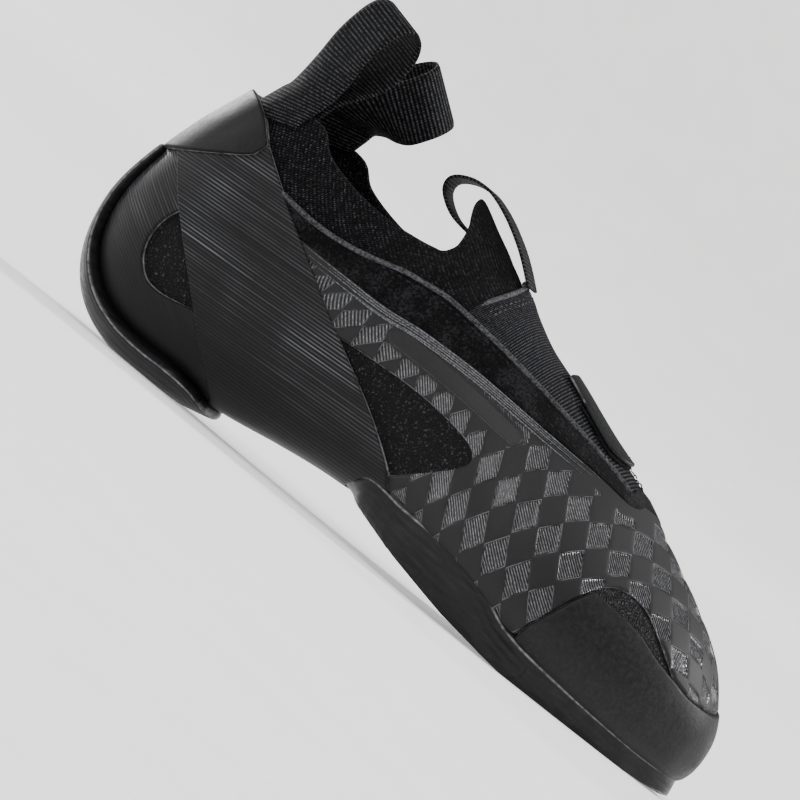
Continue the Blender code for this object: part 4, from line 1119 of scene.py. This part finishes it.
def cordPiece(name, paths, radius, around=8, taper=2):
    # Round cords along lines of points, closed at their ends. They thin out over taper points.
    points, faces = [], []
    for path in paths:
        first = len(points)
        along = np.gradient(path, axis=0)
        along /= np.linalg.norm(along, axis=1, keepdims=True)
        side = np.cross(along, (0.02, 0.03, 1.0))
        side /= np.linalg.norm(side, axis=1, keepdims=True)
        up = np.cross(side, along)
        count = len(path)
        for k in range(count):
            shrink = 0.2 + 0.8 * min(1.0, min(k, count - 1 - k) / taper)
            for step in range(around):
                angle = 2 * math.pi * step / around
                points.append(path[k] + radius * shrink * (side[k] * math.cos(angle)
                                                           + up[k] * math.sin(angle)))
        for k in range(count - 1):
            for step in range(around):
                a, b = first + k * around + step, first + k * around + (step + 1) % around
                faces += [(a, b, b + around), (a, b + around, a + around)]
        last = first + (count - 1) * around
        for step in range(1, around - 1):
            faces += [(first, first + step + 1, first + step), (last, last + step, last + step + 1)]
    # A cord has no cut edge, so no part of it is worn
    unworn = {"edge": np.ones(len(points))}
    return faceOutwards(meshPiece(name, np.array(points), np.array(faces), extra=unworn))


def oneStitch(length, thickness):
    # A single stitch: a ball drawn out and pressed down at its ends
    bpy.ops.object.select_all(action="DESELECT")
    bpy.ops.mesh.primitive_uv_sphere_add(segments=8, ring_count=6, radius=0.5)
    stitch = bpy.context.object
    bpy.ops.object.mode_set(mode="EDIT")
    bpy.ops.mesh.select_all(action="SELECT")
    bpy.ops.transform.rotate(value=math.pi / 2, orient_axis="Y", center_override=(0, 0, 0))
    bpy.ops.transform.resize(value=(length, thickness, thickness), center_override=(0, 0, 0))
    bpy.ops.mesh.quads_convert_to_tris()
    bpy.ops.object.mode_set(mode="OBJECT")
    points = np.array([v.co[:] for v in stitch.data.vertices])
    points[:, 2] -= thickness * 0.9 * (points[:, 0] / length * 2) ** 2
    faces = np.array([p.vertices[:] for p in stitch.data.polygons])
    bpy.data.objects.remove(stitch)
    return points, faces


def stitchPiece(name, lines, length, gap, thickness):
    # Copies one stitch along lines given as (points, outward normals)
    stitch, faces = oneStitch(length, thickness)
    allPoints, allFaces = [], []
    for path, normals in lines:
        even = evenLine(np.hstack([path, normals]), length + gap)
        for here, after in zip(even[:-1], even[1:]):
            along = after[:3] - here[:3]
            along /= np.linalg.norm(along)
            up = here[3:] - along * (here[3:] @ along)
            up /= np.linalg.norm(up)
            aside = np.cross(up, along)
            allFaces.append(faces + len(allPoints) * len(stitch))
            allPoints.append((here[:3] + after[:3]) / 2 + stitch @ np.stack([along, aside, up]))
    return meshPiece(name, np.vstack(allPoints), np.vstack(allFaces))


sides = (-1, 1)
seams = {"radius": 0.85 * mm, "piping": 1.7 * mm, "inner": 1.75 * mm, "tip": 1.8 * mm,
         "elastic": 0.9 * mm, "besideElastic": 1.15 * mm, "lip": 2.6 * mm, "backing": 1.3 * mm,
          "tabStitch": 3.2 * mm, "ridge": 1.5 * mm}
# Each kind of stitch: its length, the gap after it and its thickness
stitchSizes = {"binding": (2.2 * mm, 0.9 * mm, 0.45 * mm), "tab": (1.7 * mm, 0.8 * mm, 0.5 * mm),
               "elastic": (1.5 * mm, 0.5 * mm, 0.5 * mm)}
piping = [lineOnForm(curve["bindingTop"][3:], side, seams["piping"])[0] for side in sides]
dress(cordPiece("binding_piping", piping, seams["radius"]), "piping", "suede")

innerLine = sideEdge(((0.190, 0.722), (0.349, 0.783), (0.401, 0.798), (0.453, 0.790),
                      (0.505, 0.775), (0.608, 0.735), (0.700, 0.700), (0.735, 0.680)))
tipLine = sideEdge(((0.600, 0.700), (0.660, 0.688), (0.715, 0.674), (0.750, 0.672),
                    (0.759, 0.694), (0.752, 0.730), (0.735, 0.785), (0.715, 0.850)))
stitches = [lineOnForm(line, side, seams[lift])
            for line, lift in ((innerLine, "inner"), (tipLine, "tip")) for side in sides]
dress(stitchPiece("binding_stitches", stitches, *stitchSizes["binding"]), "darkThread", "suede")

# Thin glossy ridges that run along under the binding, closer together towards the toe,
# painted pale as a painted highlight
ridgeLine = curve["bindingLow"][::-1][2:-5]
ridges = []
for rear, front, late in ((0.2, 0.1, 0), (0.9, 0.7, 3), (1.7, 1.2, 1), (2.6, 1.8, 6), (3.0, 2.6, 2)):
    line = ridgeLine[late:len(ridgeLine) - late]
    drop = np.linspace(rear, front, len(line)) * mm
    line = line - np.stack([np.zeros(len(drop)), drop], axis=1)
    ridges += [lineOnForm(line, side, seams["ridge"])[0] for side in sides]
dress(cordPiece("panel_ridges", ridges, 0.3 * mm, 6, 14), "ridge", "synthetic")

elasticSeam = curve["elasticSeam"][6:]
seam = [lineOnForm(elasticSeam, side, seams["elastic"])[0] for side in sides]
# The seam cord is given the paler thread finish, a painted highlight along the raised seam
dress(cordPiece("elastic_seam", seam, seams["radius"]), "thread", "elastic")
seamStitch = [lineOnForm(elasticSeam + (0.0032 + row * 0.0016, 0.0), side,
                         seams["besideElastic"]) for side in sides for row in (0, 1)]
dress(stitchPiece("elastic_stitches", seamStitch, *stitchSizes["elastic"]), "thread", "elastic")

# The tab's thick folded lip, and the stitches beside it
tabLong = [tabFront - tabHalf - back * mm for back in range(tabSize["straight"], 0, -1)]
tabPlan = np.vstack([[(x, tabMiddle + tabHalf) for x in tabLong], tabArc(100, -100, 41),
                     [(x, tabMiddle - tabHalf) for x in reversed(tabLong)]])


def planOnForm(plan, offset):
    # Points of the form's instep above places in the plan view
    rows, turns = np.meshgrid(np.linspace(4, 12.5, 420), np.radians(np.linspace(40, 140, 400)),
                              indexing="ij")
    known = lastPoint(rows, turns)[..., :2]
    found = []
    for spot in plan:
        near = np.unravel_index(np.argmin(np.sum((known - spot) ** 2, axis=-1)), rows.shape)
        found.append((rows[near], turns[near]))
    found = smoothLine(np.array(found), 10)
    return lastSurface(found[:, 0], found[:, 1], offset) + shoeShift, lastNormal(*found.T)


tabCentre = tabPlan.mean(axis=0)
dress(cordPiece("tab_lip", [planOnForm(tabPlan, seams["lip"])[0]], 0.8 * mm, 10), "patchRubber",
      "rand_rubber")
# A dark cord just outside the tab's edge, laid as a backing layer: a painted shadow for the slit
# beside the lip
backing = tabCentre + (tabPlan - tabCentre) * tabSize["backing"]
dress(cordPiece("tab_backing", [planOnForm(backing, seams["backing"])[0]], 0.7 * mm, 8),
      "binding", "rand_rubber")
inside = planOnForm(tabCentre + (tabPlan - tabCentre) * tabSize["stitched"],
                    seams["tabStitch"])
dress(stitchPiece("tab_stitches", [inside], *stitchSizes["tab"]), "piping", "rand_rubber")
print("stage: sewing", flush=True)

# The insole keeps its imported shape
for part in bpy.data.objects:
    if part.name.split(".")[0] == "insole" and part.type == "MESH":
        for place in part.material_slots:
            place.material = finishes["board"]

# Studio: a pale floor that rises far off on every side, and soft lights
floorSize = {"flat": 6.0, "rise": 1.5}
bpy.ops.object.select_all(action="DESELECT")
bpy.ops.mesh.primitive_circle_add(vertices=96, radius=floorSize["flat"], fill_type="NGON",
                                  location=(0, 0, 0))
floor = bpy.context.object
floor.name = "studio_floor"
bpy.ops.object.mode_set(mode="EDIT")
bpy.ops.mesh.select_all(action="SELECT")
bpy.ops.mesh.select_mode(type="EDGE")
bpy.ops.mesh.region_to_loop()
for step in range(1, 9):
    angle = math.pi / 2 * step / 8
    before = math.pi / 2 * (step - 1) / 8
    outer = floorSize["flat"] + floorSize["rise"] * math.sin(angle)
    inner = floorSize["flat"] + floorSize["rise"] * math.sin(before)
    lift = floorSize["rise"] * (math.cos(before) - math.cos(angle))
    bpy.ops.mesh.extrude_edges_move(TRANSFORM_OT_translate={"value": (0, 0, lift)})
    bpy.ops.transform.resize(value=(outer / inner, outer / inner, 1), center_override=(0, 0, 0))
bpy.ops.object.mode_set(mode="OBJECT")
floor.data.materials.append(finishes["paint"])
setNode(finishes["paint"].node_tree.nodes["Principled BSDF"],
        {"Emission Color": "#ffffff", "Emission Strength": 0.4})
bpy.ops.object.shade_smooth_by_angle(angle=math.radians(40))

lamps = (
    # name, where it shines from, watts per square metre, spread in degrees
    ("keySun", (-0.2, -1.0, 1.3), 1.4, 22),
    ("topSun", (0.2, -0.1, 1.6), 0.8, 40),
    ("heelSun", (-1.4, -0.5, 0.3), 1.1, 14),
    ("heelRimSun", (-1.0, 0.8, 0.25), 4.2, 12),
    ("toeRimSun", (1.0, 0.9, 1.0), 3.2, 12),
)
for name, place, power, spread in lamps:
    bpy.ops.object.light_add(type="SUN", location=place)
    lamp = bpy.context.object
    lamp.name = name
    lamp.data.angle = math.radians(spread)
    lamp.data.energy = power
    lamp.rotation_euler = Vector(place).to_track_quat("Z", "Y").to_euler()

world = bpy.data.worlds.new("studioWorld")
bpy.context.scene.world = world
world.use_nodes = True
setNode(world.node_tree.nodes["Background"], {"Color": "#ffffff", "Strength": 0.35})
